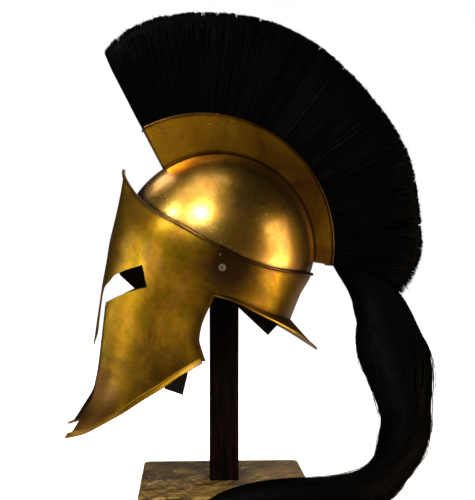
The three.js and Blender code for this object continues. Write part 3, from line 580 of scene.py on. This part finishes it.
# Rim, hems and neck guard
# The sheet's top edge is rolled over a wire, the cheeks' lower edges are turned out and their rear edges
# curled in, and the neck's edge is flared into a guard. They are one with the sheet, so they join it.
into_wall, guard_reach, guard_drop, guard_lip = 1.2, 34.4, 39.2, 1.2
rim_radius, edge_radius = 2.0, 1.7


def tube_place(centres, outward, radius):
    """A round bar along centres(u), whose first side faces outward(u)."""

    def place(u, v):
        at, out = centres(u), outward(u)
        run = centres(np.minimum(u + 0.002, 1)) - centres(np.maximum(u - 0.002, 0))
        run /= np.linalg.norm(run, axis=-1)[..., None]
        out = out - (out * run).sum(-1)[..., None] * run
        out /= np.linalg.norm(out, axis=-1)[..., None]
        up = np.cross(run, out)
        turn = (v * 2 * math.pi)[..., None]
        return at + radius * (np.cos(turn) * out + np.sin(turn) * up)

    return place


def rim_centre(u):
    return on_face(u * 360, rim_z(u * 360), 0.4 * sheet_thick)


def rim_outward(u):
    turn = u * 2 * math.pi
    return along(np.sin(turn), -np.cos(turn), 0 * turn)


rim = shaped_grid("rolled_rim", 220, 12, tube_place(rim_centre, rim_outward, rim_radius), closed=True)
face_away(rim, (0, skull_y, 300))
rim.data.materials.append(dark_brass)


def bearing_at(y, z):
    low, high = np.zeros_like(y), np.full_like(y, 180.0)
    for _ in range(40):
        middle = (low + high) / 2
        nearer = on_face(middle, z)[..., 1] < y
        low, high = np.where(nearer, middle, low), np.where(nearer, high, middle)
    return (low + high) / 2


def face_normal(bearing, z):
    round_way = on_face(bearing + 0.5, z) - on_face(bearing - 0.5, z)
    up_way = on_face(bearing, z + 1) - on_face(bearing, z - 1)
    out = np.cross(round_way, up_way)
    out /= np.linalg.norm(out, axis=-1)[..., None]
    return np.where(out[..., :1] < 0, -out, out)


def turned_strip(name, rows, width, angle, past):
    """A strip of sheet along an edge, rolled over from the wall by an angle, which ends on the outline."""
    line = side_curve(rows, 61)
    bearings = bearing_at(line[:, 0], line[:, 1])
    root = on_face(bearings, line[:, 1], -sheet_thick / 2)
    out = face_normal(bearings, line[:, 1])
    run = np.gradient(root, axis=0)
    run /= np.linalg.norm(run, axis=1)[:, None]
    on = np.cross(run, out)
    on = np.where((on * np.array(past)).sum(1)[:, None] < 0, -on, on)
    lean = math.radians(angle)

    def place(u, v):
        i = np.rint(u * 60).astype(int)
        wide = np.broadcast_to(width(u) if callable(width) else width, u.shape)[:, None]
        foot = root[i] - on[i] * (wide * math.cos(lean) + into_wall)
        bent = (lean * np.clip(v * 3.0, 0, 1) ** 0.7)[:, None]
        way = on[i] * np.cos(bent) + out[i] * np.sin(bent)
        return foot + way * wide * v[:, None] + into_wall * on[i] * v[:, None]

    piece = shaped_grid(name, 60, 8, place)
    apply_modifier(piece, "SOLIDIFY", thickness=sheet_thick * mm, offset=0)
    return piece


trims = [rim]
for rows, width, angle, past in (
    (cheek_lower, hem_width, hem_lean, (0, 0, -1)),
    (cheek_rear, curl_wide, -curl_turn, (0, 1, 0)),
):
    strip = turned_strip("cheek_edge", rows, width, angle, past)
    strip.data.materials.append(brass)
    other = strip.copy()
    other.data = strip.data.copy()
    bpy.context.collection.objects.link(other)
    other.data.transform(np.diag([-1.0, 1.0, 1.0, 1.0]))
    other.data.flip_normals()
    trims += [strip, other]


def join_to(piece, others):
    make_active(piece)
    for other in others:
        other.select_set(True)
    bpy.ops.object.join()


def neck_guard_place(u, v):
    bearing = ear_bearing + (360 - 2 * ear_bearing) * u
    turn = np.radians(bearing)
    out, down = neck_out(bearing) * guard_reach * v, neck_down(bearing) * guard_drop * v
    lip = guard_lip * np.clip((v - 0.86) / 0.14, 0, 1) ** 2
    base = on_face(bearing, neck_z(bearing), -sheet_thick / 2)
    return base + along((out + lip) * np.sin(turn), -(out + lip) * np.cos(turn), -down + lip * 0.6)


guard = shaped_grid("neck_guard", 120, 16, neck_guard_place)
apply_modifier(guard, "SOLIDIFY", thickness=sheet_thick * mm, offset=0)
guard.data.materials.append(brass)
trims.append(guard)
sheet_corners = len(face.data.vertices)
join_to(face, trims)
spots = corners(face)
bearings = np.degrees(np.arctan2(np.abs(spots[:, 0]), skull_y - spots[:, 1]))
ear_y, ear_z, ear_dark = -5.0, 288.0, 52.0
to_rim = np.abs(rim_z(bearings) - spots[:, 2])
to_ear = np.hypot(spots[:, 1] - ear_y, spots[:, 2] - ear_z) / ear_dark
to_curl = np.min(np.hypot(*(spots[:, None, 1:] - rear_curve[None]).transpose(2, 0, 1)), axis=1)
to_neck = np.abs(spots[:, 2] - neck_z(np.clip(bearings, ear_bearing, 180)))
# Painted shade: dark lines just under the rim, a broad dark patch round the ear, a dark band along the curled
# rear edges and a dark line where the neck turns out into the guard. The face sheet, not its trims, also gets
# darker towards the bottom.
set_painted_shade(face, np.maximum.reduce([
    0.75 * np.clip(1 - to_rim / 6, 0, 1),
    0.95 * np.clip(1.2 - to_ear, 0, 1),
    0.75 * np.clip(1 - to_curl / 16, 0, 1),
    np.interp(spots[:, 2], [110, 165, 235], [0.75, 0.5, 0]) * (np.arange(len(spots)) < sheet_corners),
    0.6 * np.clip(1 - to_neck / 7, 0, 1) * (bearings > ear_bearing + 3),
]))
finish(face, brass, "brass", "face_mask", angle=38)


# Crest channel
# A curved trough of the same brass stands on the skull: two walls, two ends, a wired top edge and a narrow
# foot soldered down each side. The wall is one band led round the trough, from the skull up to the edge.
crest_forward, crest_lift, crest_radius = 25.2, 7.6, 161.5
crest_start, crest_end, crest_width = -27.8, 98.9, 34.0
crest_y, crest_z = -crest_forward, skull_z + crest_lift


def on_crest(turn, radius, x=0.0):
    angle = np.radians(turn)
    return along(x, crest_y + radius * np.sin(angle), crest_z + radius * np.cos(angle))


def skull_under_crest(turn, x):
    """The distance from the crest's centre to just outside the skull."""
    low, high = np.full(np.shape(turn), 60.0), np.full(np.shape(turn), 170.0)
    for _ in range(30):
        middle = (low + high) / 2
        spot = on_crest(turn, middle, x)
        rise = spot[..., 2] - skull_z
        half = np.where(rise > 0, skull_length / 2, skull_under) + seat_gap
        share = (spot[..., 0] / (skull_width / 2 + seat_gap)) ** 2
        share = share + ((spot[..., 1] - skull_y) / (skull_length / 2 + seat_gap)) ** 2 + (rise / half) ** 2
        low, high = np.where(share < 1, middle, low), np.where(share < 1, high, middle)
    return high


def trough_loop(u):
    """u goes round the trough: back along the left wall, across, forward along the right wall, across."""
    half = crest_width / 2
    shares = [0, 0.44, 0.5, 0.94, 1.0]
    turn = np.interp(u, shares, [crest_start, crest_end, crest_end, crest_start, crest_start])
    x = np.interp(u, shares, [half, half, -half, -half, half])
    return turn, x


def trough_place(u, v):
    turn, x = trough_loop(u)
    foot = skull_under_crest(turn, x)
    return on_crest(turn, foot + (crest_radius - foot) * v, x)


trough = shaped_grid("crest_trough", 200, 10, trough_place, closed=True)
if sum(wall.normal.x * wall.center.x for wall in trough.data.polygons) < 0:
    edit_mesh(trough, bpy.ops.mesh.flip_normals)
apply_modifier(trough, "SOLIDIFY", thickness=sheet_thick * mm, offset=-1)


def edge_centre(u):
    turn, x = trough_loop(u)
    return on_crest(turn, crest_radius - 0.4, x)


def edge_outward(u):
    turn, x = trough_loop(u)
    ends = np.where(np.abs(x) < crest_width / 2 - 0.01, 1.0, 0.0)
    angle = np.radians(turn)
    sign = np.where(turn > 40, 1.0, -1.0)
    return along(np.sign(x) * (1 - ends) + 1e-3, sign * np.cos(angle) * ends, -sign * np.sin(angle) * ends)


edge_place = tube_place(edge_centre, edge_outward, edge_radius)
edge_wire = shaped_grid("trough_edge", 240, 10, edge_place, closed=True)
edge_wire.data.materials.append(dark_brass)
trough.data.materials.append(crest_brass)
edit_mesh(edge_wire, turn_out)
feet = []
for side in (1, -1):

    def foot_place(u, v, side=side):
        turn = crest_start + (crest_end - crest_start) * u
        x = side * (crest_width / 2 - 1 + 5 * v)
        return on_crest(turn, skull_under_crest(turn, x) + 0.9 - 0.5 * v**3, x)

    foot = shaped_grid("trough_foot", 120, 4, foot_place)
    face_away(foot, (0, crest_y, crest_z))
    apply_modifier(foot, "SOLIDIFY", thickness=0.8 * mm, offset=-1)
    foot.data.materials.append(crest_brass)
    feet.append(foot)
join_to(trough, [edge_wire, *feet])


def crest_terms(spots):
    """The turn round the crest of some places, and how far they are from its centre."""
    forward, up = spots[:, 1] - crest_y, spots[:, 2] - crest_z
    return np.degrees(np.arctan2(forward, up)), np.hypot(forward, up)


turns, radii = crest_terms(corners(trough))
over_foot = radii - skull_under_crest(turns, corners(trough)[:, 0])
# Painted shade: darker along the foot on the skull and just under the wired top edge, and darker along the
# walls behind a lighter front end, as lamp falloff would make it.
set_painted_shade(trough, np.maximum.reduce([
    0.9 * np.clip(1 - over_foot / 6, 0, 1),
    0.75 * np.clip(1 - (crest_radius - radii) / 5, 0, 1),
    np.interp(turns, [-22, 8, 55, 95], [0.1, 0.62, 0.72, 0.6]),
]))
finish(trough, crest_brass, "brass", "crest_box", angle=38)
spots = corners(skull)
turns, radii = crest_terms(spots)
under = np.clip((turns - crest_start + 2) / 3, 0, 1) * np.clip((crest_end + 2 - turns) / 3, 0, 1)
beside = np.abs(spots[:, 0]) - crest_width / 2 - 5
bearings = np.degrees(np.arctan2(np.abs(spots[:, 0]), skull_y - spots[:, 1]))
over_rim = spots[:, 2] - rim_z(bearings)
behind_top = np.clip((turns - 12) / 30, 0, 1)
# Painted shade: a dark band on the bowl beside the crest channel's foot, a dark line just above the rim, and
# a broad dark reflection painted on the bowl beside the rear of the channel.
set_painted_shade(skull, np.maximum.reduce([
    0.95 * np.clip(1 - beside / 3, 0, 1) * under,
    0.9 * np.clip(1 - (over_rim - 2) / 3.5, 0, 1),
    0.62 * np.clip(1 - beside / 46, 0, 1) * behind_top,
]))


# Crest hair
# Black horsehair stands in the trough, packed close, fanned out and trimmed to one even edge. A dark core
# fills the middle, and thousands of flat tapered hairs in locks make what shows.
def hair_material(name, dark, light, rough):
    material, tree, surface, place = new_material(name, dark, rough)
    attribute = tree.nodes.new("ShaderNodeAttribute")
    attribute.attribute_name = "hair_shade"
    stops = [(0.0, dark), (0.85, light), (0.94, light), (1.0, (0.05, 0.036, 0.026))]
    shade = ramp(tree, attribute.outputs["Fac"], stops)
    link(tree, shade, surface.inputs["Base Color"])
    streaks = texture(tree, "ShaderNodeTexNoise", place, Scale=90.0, Detail=3.0)
    shine = ramp(tree, streaks.outputs["Fac"], [(0.3, grey(rough)), (0.7, grey(rough + 0.2))])
    link(tree, shine, surface.inputs["Roughness"])
    surface.inputs["Specular IOR Level"].default_value = 0.02
    return material


hair = hair_material("Black Horsehair", (0.0002, 0.0002, 0.0002), (0.0012, 0.001, 0.0009), 0.45)
chance = np.random.default_rng(11)
brush_length, brush_depth, brush_flare, lock_count = 131.3, 18.0, 23.0, 150
brush_reach = smooth_through(
    [-27.5, -24, -16, 2, 20, 48, 68, 84, 95, 98.6],
    [0.807, 0.865, 0.937, 0.976, 1.0, 0.947, 0.952, 0.908, 0.855, 0.768],
)


def ribbons(name, spots, across, shades):
    """Flat hairs: spots and across are [hair, station, xyz] in millimetres, across being half a width."""
    count, stations, _ = spots.shape
    edges = np.stack([spots - across, spots + across], axis=2).reshape(-1, 3) * mm
    first = (np.arange(count)[:, None] * stations + np.arange(stations - 1)) * 2
    quads = np.stack([first, first + 1, first + 3, first + 2], axis=-1).reshape(-1, 4)
    mesh = bpy.data.meshes.new(name)
    mesh.vertices.add(len(edges))
    mesh.vertices.foreach_set("co", edges.ravel())
    mesh.loops.add(quads.size)
    mesh.loops.foreach_set("vertex_index", quads.ravel().astype(np.int32))
    mesh.polygons.add(len(quads))
    mesh.polygons.foreach_set("loop_start", (np.arange(len(quads)) * 4).astype(np.int32))
    mesh.update(calc_edges=True)
    layer = mesh.attributes.new("hair_shade", "FLOAT", "POINT")
    layer.data.foreach_set("value", np.repeat(shades, stations * 2).astype(np.float32))
    mesh.validate()
    piece = bpy.data.objects.new(name, mesh)
    bpy.context.collection.objects.link(piece)
    return piece


def brush_core_place(u, v):
    turn = crest_start + 0.9 + (crest_end - crest_start - 1.8) * u
    reach = crest_radius + brush_length * brush_reach(turn) - 5
    loop = v * 2 * math.pi
    radial = (1 + np.cos(loop)) / 2
    root = crest_radius - brush_depth
    radius = root + (reach - root) * radial
    widen = np.clip((radius - crest_radius) / 60, 0, 1)
    flare = crest_width / 2 - 3 + (brush_flare - crest_width / 2) * widen
    side = np.sign(np.sin(loop)) * np.abs(np.sin(loop)) ** 0.25
    return on_crest(turn, radius, side * (flare - 0.8))


brush_core = shaped_grid("crest_hair_core", 90, 24, brush_core_place)
edit_mesh(brush_core, merge_corners, fill_ends, turn_out)
finish(brush_core, hair, "hair", "crest_brush")


def brush_hairs(name, count, lowest, highest, stations=7):
    """Hairs that stand between two turns of the crest and lean together into locks."""
    turn = chance.uniform(lowest, highest, count)
    side = chance.uniform(-1, 1, count)
    side = np.where(chance.random(count) < 0.7, np.sign(side) * np.abs(side) ** 0.45, side)
    locks = np.sort(chance.uniform(crest_start, crest_end, lock_count))
    own_lock = np.clip(np.searchsorted(locks, turn), 0, lock_count - 1)
    depth = chance.uniform(0, 1, lock_count)[own_lock]
    drift = (locks[own_lock] - turn) * chance.uniform(0.1, 0.55, count) + chance.normal(0, 0.22, count)
    drift = np.clip(drift, -1.4, 1.4)
    reach = brush_length * brush_reach(turn) + 0.8 - 1.2 * depth - chance.exponential(1.6, count).clip(0, 9)
    reach += np.where(chance.random(count) < 0.03, chance.uniform(0, 3.0, count), 0)
    reach -= 3.5 * side**4
    t = np.linspace(0, 1, stations)[None, :]
    start = crest_radius - 4.0
    radius = start + (crest_radius + reach[:, None] - start) * t
    angle = turn[:, None] + drift[:, None] * t**1.6 + 0.12 * np.sin(t * 5 + turn[:, None] * 40)
    droop = np.clip((turn[:, None] - 86) / 12, 0, 1) ** 2 * chance.uniform(0, 6.5, (count, 1)) * t**2
    angle = np.clip(angle, crest_start + 0.2, crest_end + 0.1) + droop
    inside = crest_width / 2 - 2.2
    flare = inside + (brush_flare - inside) * np.sqrt(np.clip(t * 1.15, 0, 1))
    dome = 1 - 0.55 * np.clip((t - 0.86) / 0.14, 0, 1) ** 2
    x = side[:, None] * flare * dome + chance.normal(0, 0.35, (count, 1)) * t
    spots = on_crest(angle, radius, x)
    wide = (0.75 * (1 - 0.75 * t**2))[..., None]
    twist = chance.uniform(-0.9, 0.9, count)[:, None]
    way = np.radians(angle)
    across = along(np.sin(twist), np.cos(way) * np.cos(twist), -np.sin(way) * np.cos(twist)) * wide
    return ribbons(name, spots, across, chance.beta(1.3, 3.0, count))


for name, count, lowest, highest in (
    ("crest_hair_front", 15000, crest_start + 0.3, 34.0),
    ("crest_hair_rear", 15500, 34.0, crest_end - 0.2),
):
    finish(brush_hairs(name, count, lowest, highest), hair, "hair")


# Hair tail
# The hair at the rear of the crest is left long. It is gathered where it leaves the brush, swells into a
# thick lock, reaches the table behind the base and lies round the base's left side.
tail_back, tail_side, tail_broad = 212.0, 139.0, 44.0
end_height = float(on_crest(crest_end, crest_radius)[2])
tail_rows = [  # side, back, level, broad, thick
    (0, 0.81, 0.98, 0.8, 0.4), (0.02, 0.89, 0.898, 0.66, 0.45), (0.05, 0.922, 0.827, 0.73, 0.5),
    (0.1, 0.957, 0.757, 0.84, 0.54), (0.2, 0.97, 0.656, 1.0, 0.58), (0.31, 1.0, 0.555, 0.98, 0.6),
    (0.43, 1.008, 0.429, 0.78, 0.6), (0.54, 0.997, 0.335, 0.68, 0.6), (0.68, 0.939, 0.249, 0.64, 0.58),
    (0.79, 0.86, 0.176, 0.52, 0.54), (0.9, 0.745, 0.118, 0.5, 0.55), (0.98, 0.6, 0.088, 0.54, 0.6),
    (1.0, 0.44, 0.08, 0.52, 0.6), (0.99, 0.27, 0.079, 0.51, 0.6), (0.965, 0.1, 0.074, 0.48, 0.54),
    (0.94, -0.06, 0.06, 0.38, 0.42), (0.92, -0.17, 0.042, 0.2, 0.24),
]
tail_table = np.array(tail_rows)
tail_root = on_crest(crest_end - 0.5, crest_radius + 3.4 + tail_table[0, 3] * tail_broad)
tail_knots = tail_table[:, :3] * [tail_side, tail_back, end_height]
tail_knots[0] = tail_root
tail_share = np.linspace(0, 1, len(tail_rows))
tail_line = [smooth_through(tail_share, tail_knots[:, i]) for i in range(3)]
tail_half = [smooth_through(tail_share, tail_table[:, i] * tail_broad) for i in (3, 4)]
root_way = np.radians(crest_end + 90)


def tail_frame(t):
    """Centre of the tail at a share of its run, and its two half widths as vectors."""
    at = np.stack([line(t) for line in tail_line], axis=-1)
    run = np.stack([line(t + 0.004) - line(t - 0.004) for line in tail_line], axis=-1)
    run /= np.linalg.norm(run, axis=-1)[..., None]
    start = np.array([0, math.sin(root_way), math.cos(root_way)])
    early = np.clip(t / 0.09, 0, 1)[..., None]
    run = start * (1 - early) + run * early
    run /= np.linalg.norm(run, axis=-1)[..., None]
    blend = np.clip((t - 0.42) / 0.3, 0, 1)[..., None]
    out = np.array([0, 1.0, 0]) * (1 - blend) + np.array([1.0, 0, 0]) * blend
    out = out - (out * run).sum(-1)[..., None] * run
    out /= np.linalg.norm(out, axis=-1)[..., None]
    broad = out * tail_half[0](t)[..., None]
    thick = np.cross(run, out) * tail_half[1](t)[..., None]
    return at, broad, thick


def tail_core_place(t, v):
    at, broad, thick = tail_frame(t)
    turn = v * 2 * math.pi
    size = (0.86 + 0.05 * np.sin(turn * 7 + t * 9) * (1 - t))[..., None]
    spot = at + (broad * np.cos(turn)[..., None] + thick * np.sin(turn)[..., None]) * size
    spot[..., 2] = np.maximum(spot[..., 2], 1.0)
    return spot


tail_core = shaped_grid("tail_hair_core", 110, 40, tail_core_place)
edit_mesh(tail_core, merge_corners, fill_ends, turn_out)
finish(tail_core, hair, "hair", "crest_tail", angle=60)


def tail_hairs(name, count, stations, deep, loose, lock_count=46):
    """Hairs along the tail, gathered into locks, some lying deep and some loose."""
    lock_turn = chance.uniform(0, 2 * math.pi, lock_count)
    lock_wave = chance.normal(0, 0.16, (lock_count, 3))
    lock = chance.integers(0, lock_count, count)
    start = chance.uniform(0.0, 0.02, count)
    end = 1.0 - chance.exponential(0.035, count).clip(0, 0.3)
    t = start[:, None] + (end - start)[:, None] * np.linspace(0, 1, stations)[None, :]
    gather = 0.55 * np.sin(np.pi * np.clip(t * 1.1, 0, 1))
    own = chance.uniform(-0.42, 0.42, count)[:, None]
    sway = sum(
        lock_wave[lock, i][:, None] * np.sin(t * (4 + 3 * i) + lock[:, None] * (1.7 + i)) for i in range(3)
    )
    turn = lock_turn[lock][:, None] + own * (1.25 - gather) + sway + 0.5 * t
    turn = turn + 0.03 * np.sin(t * 60 + chance.uniform(0, 6, count)[:, None])
    at, broad, thick = tail_frame(t)
    size = 1.0 - deep * chance.random(count) ** 1.5 * 0.5
    size = size[:, None] - 0.05 * (own / 0.42) ** 2 * gather
    away = loose * chance.random(count) ** 3
    size = size + away[:, None] * np.sin(np.pi * t) ** 2 * np.sin(t * 9 + lock[:, None])
    spots = at + (broad * np.cos(turn)[..., None] + thick * np.sin(turn)[..., None]) * size[..., None]
    lift = 0.5 + chance.random(count)[:, None] * 1.2
    spots[..., 2] = np.maximum(spots[..., 2], lift)
    across = -broad * np.sin(turn)[..., None] + thick * np.cos(turn)[..., None]
    across /= np.linalg.norm(across, axis=-1)[..., None]
    share = np.linspace(0, 1, stations)[None, :, None]
    across *= 0.75 * (1 - 0.8 * share**3)
    return ribbons(name, spots, across, chance.beta(1.2, 2.6, count))


finish(tail_hairs("tail_hair", 4300, 23, 0.3, 0.0), hair, "hair")
finish(tail_hairs("tail_loose_hair", 900, 40, 0.1, 0.2), hair, "hair")


# Straps and pad
# Two strips of worn black leather and a pad inside the right temple, riveted on and never stitched. The
# solids have their shape, so they only get the leather.
def worn_leather():
    material, tree, surface, place = new_material("Worn Leather", (0.007, 0.005, 0.004), 0.6)
    surface.inputs["Specular IOR Level"].default_value = 0.2
    marks = worn(tree, place, Patch_Size=40.0, Scratch_Size=150.0, Pit_Size=700.0)
    stops = [(0.3, (0.003, 0.002, 0.002)), (0.75, (0.016, 0.01, 0.007))]
    colour = ramp(tree, marks.outputs["Patches"], stops)
    shine = ramp(tree, marks.outputs["Blotches"], [(0.3, grey(0.5)), (0.7, grey(0.75))])
    link(tree, colour, surface.inputs["Base Color"])
    link(tree, shine, surface.inputs["Roughness"])
    grain = texture(tree, "ShaderNodeTexVoronoi", place, Scale=900.0)
    bump(tree, surface, grain.outputs["Distance"], 0.0006, 0.6)
    return material


leather = worn_leather()


def dress(names, material):
    for name in names:
        nodes[name].data.materials.clear()
        nodes[name].data.materials.append(material)


dress(["chin_strap_left", "chin_strap_right", "temple_pad_right"], leather)


# Rivets
# A tubular rivet of dull plated steel goes through the sheet and the strap at each temple, and small steel
# pins are set beside the rim. The solids have their shape, so they only get the metal.
steel, steel_tree, steel_surface, steel_place = new_material("Dull Steel", (0.6, 0.56, 0.5), 0.34, 1.0)
steel_marks = worn(steel_tree, steel_place, Patch_Size=180.0)
steel_colour = ramp(
    steel_tree, steel_marks.outputs["Patches"], [(0.3, (0.16, 0.13, 0.09)), (0.7, (0.4, 0.37, 0.31))])
link(steel_tree, steel_colour, steel_surface.inputs["Base Color"])
bump(steel_tree, steel_surface, steel_marks.outputs["Blotches"], 0.0003, 0.5)
dress([name for name in nodes if name.startswith(("temple_rivet", "rim_pin"))], steel)


# Stand
# A square softwood base, stained brown and scratched, and a square post stained nearly black with a redder
# grain. The solids have their shape, so they only get the wood.
def stained_wood(name, dark, mid, light, ways, rough, rubbed, gloss):
    material, tree, surface, place = new_material(name, mid, rough)
    grain = texture(tree, "ShaderNodeMapping", place, Scale=ways).outputs[0]
    rings = texture(tree, "ShaderNodeTexWave", grain, wave_type="BANDS", bands_direction="X", Scale=1.0,
                    Distortion=9.0, Detail=4.0, Detail_Scale=1.4, Detail_Roughness=0.65)
    pores = texture(tree, "ShaderNodeTexNoise", grain, Scale=9.0, Detail=8.0, Roughness=0.7)
    clouds = texture(tree, "ShaderNodeTexNoise", place, Scale=16.0, Detail=4.0)
    colour = ramp(tree, rings.outputs["Fac"], [(0.0, dark), (0.55, mid), (1.0, light)])
    streaks = ramp(tree, pores.outputs["Fac"], [(0.35, grey(0.65)), (0.65, grey(1.15))])
    colour = mix_colours(tree, 0.8, colour, streaks, "MULTIPLY")
    stain = ramp(tree, clouds.outputs["Fac"], [(0.38, grey(0.2)), (0.62, grey(1.4))])
    colour = mix_colours(tree, 0.8, colour, stain, "MULTIPLY")
    strokes_ways = ((1.1, rubbed, 0.6, 0.4), (0.7, dark, 0.52, 0.8), (-1.2, dark, 0.54, 0.8))
    for turn, tint, least, strength in strokes_ways:
        lay = texture(tree, "ShaderNodeMapping", place, vector_type="TEXTURE", Rotation=(0.0, 0.0, turn),
                      Scale=(0.004, 0.09, 0.09))
        strokes = texture(tree, "ShaderNodeTexNoise", lay.outputs[0], Scale=1.0, Detail=4.0, Roughness=0.6,
                          Distortion=0.4)
        mask = ramp(tree, strokes.outputs["Fac"], [(least, grey(0.0)), (least + 0.07, grey(strength))])
        colour = mix_colours(tree, mask, colour, (*tint, 1.0))
    marks = worn(tree, place, Scratch_Size=45.0, Pit_Size=160.0)
    colour = mix_colours(tree, marks.outputs["Scratches"], colour, (*rubbed, 1.0))
    colour = mix_colours(tree, marks.outputs["Pits"], colour, (*dark, 1.0))
    shine = ramp(tree, pores.outputs["Fac"], [(0.3, grey(rough + 0.15)), (0.7, grey(rough))])
    surface.inputs["Specular IOR Level"].default_value = gloss
    link(tree, colour, surface.inputs["Base Color"])
    link(tree, shine, surface.inputs["Roughness"])
    bump(tree, surface, pores.outputs["Fac"], 0.0012, 0.5)
    return material


base_wood = stained_wood(
    "Brown Base Wood", (0.03, 0.015, 0.004), (0.16, 0.09, 0.013), (0.3, 0.18, 0.038),
    (60.0, 5.0, 60.0), 0.45, (0.6, 0.45, 0.22), 0.25)
post_wood = stained_wood(
    "Dark Post Wood", (0.0004, 0.0002, 0.0002), (0.0015, 0.0006, 0.0004), (0.012, 0.003, 0.002),
    (60.0, 60.0, 4.0), 0.5, (0.012, 0.003, 0.002), 0.05)
dress(["stand_base"], base_wood)
dress(["stand_post"], post_wood)


# Floor, light and camera
# A plain white floor and surroundings, which the brass sees as a dim room with soft lamps, and a level
# camera on the helmet's left, a little to the front.
def split_rays(tree, lit, seen, end):
    """The camera sees one shader, and every other ray meets the other."""
    path = tree.nodes.new("ShaderNodeLightPath")
    pick = tree.nodes.new("ShaderNodeMixShader")
    link(tree, path.outputs["Is Camera Ray"], pick.inputs[0])
    link(tree, lit.outputs[0], pick.inputs[1])
    link(tree, seen.outputs[0], pick.inputs[2])
    link(tree, pick.outputs[0], tree.nodes[end].inputs["Surface"])


deselect()
bpy.ops.mesh.primitive_plane_add(size=12.0)
floor = bpy.context.object
floor.name = "floor"
floor_material, floor_tree, floor_surface, _ = new_material("White Floor", (0.9, 0.9, 0.9), 0.9)
glow = add_node(floor_tree, "ShaderNodeEmission", Strength=1.0)
dim = add_node(floor_tree, "ShaderNodeBsdfDiffuse", Color=(0.42, 0.38, 0.33, 1.0))
white = floor_tree.nodes.new("ShaderNodeAddShader")
link(floor_tree, floor_surface.outputs[0], white.inputs[0])
link(floor_tree, glow.outputs[0], white.inputs[1])
split_rays(floor_tree, dim, white, "Material Output")
floor.data.materials.append(floor_material)

world = bpy.data.worlds.new("Studio")
bpy.context.scene.world = world
world.use_nodes = True
sky = world.node_tree
backdrop = add_node(sky, "ShaderNodeBackground", Color=(1, 1, 1, 1), Strength=1.0)
room = sky.nodes["Background"]
room.inputs["Color"].default_value = (0.16, 0.15, 0.14, 1)
room.inputs["Strength"].default_value = 0.12
split_rays(sky, room, backdrop, "World Output")
helmet_middle = (0.0, -0.05, 0.33)


def lamp(name, spot, target, size, power, colour):
    light = bpy.data.lights.new(name, "AREA")
    light.shape = "RECTANGLE"
    light.size, light.size_y = size
    light.energy = power
    light.color = colour
    holder = bpy.data.objects.new(name, light)
    bpy.context.collection.objects.link(holder)
    holder.location = spot
    holder.visible_camera = False
    holder.rotation_euler = (Vector(target) - Vector(spot)).to_track_quat("-Z", "Y").to_euler()


lamp("key_lamp", (1.55, -0.63, 1.58), helmet_middle, (0.38, 0.38), 27.0, (1.0, 0.97, 0.95))
lamp("second_lamp", (0.92, -1.45, 1.53), helmet_middle, (0.2, 0.2), 9.0, (1.0, 0.97, 0.95))
lamp("soft_lamp", (1.3, -0.9, 2.0), helmet_middle, (1.7, 1.5), 14.0, (1.0, 0.93, 0.8))
lamp("rear_lamp", (0.42, 0.76, 0.36), (0.05, 0.05, 0.31), (0.42, 0.62), 3.6, (1.0, 0.82, 0.62))
lamp("low_lamp", (0.36, 0.62, 0.03), (0.07, 0.06, 0.27), (0.3, 0.3), 2.3, (1.0, 0.78, 0.56))
lamp("far_lamp", (-0.85, -1.0, 1.9), (0.0, 0.0, 0.35), (0.7, 0.7), 8.0, (1.0, 0.88, 0.78))
lamp("back_lamp", (-1.2, 0.7, 2.0), (0.0, 0.0, 0.3), (1.0, 1.0), 24.0, (1.0, 0.96, 0.9))
lamp("face_lamp", (0.85, -1.9, 0.45), (0.0, -0.1, 0.3), (0.35, 0.6), 11.0, (1.0, 0.95, 0.85))
lamp("front_lamp", (-0.1, -2.0, 0.6), (0.0, -0.1, 0.3), (1.0, 0.8), 8.0, (1.0, 0.95, 0.85))
lamp("top_lamp", (0.5, -0.3, 2.3), (0.0, 0.0, 0.4), (1.0, 1.0), 7.0, (1.0, 0.9, 0.75))

camera_turn, camera_far, camera_side, camera_high = math.radians(7.9), 1.280, 0.017, 0.306
camera = bpy.data.objects.new("camera", bpy.data.cameras.new("camera"))
bpy.context.collection.objects.link(camera)
camera.location = (
    camera_far * math.cos(camera_turn) + camera_side * math.sin(camera_turn),
    -camera_far * math.sin(camera_turn) + camera_side * math.cos(camera_turn),
    camera_high,
)
look = Vector((-math.cos(camera_turn), math.sin(camera_turn), 0))
camera.rotation_euler = look.to_track_quat("-Z", "Y").to_euler()
camera.data.sensor_width = 36.0
camera.data.lens = 36.0 * 1024 / 500
bpy.context.scene.camera = camera
bpy.context.scene.view_settings.view_transform = "Standard"
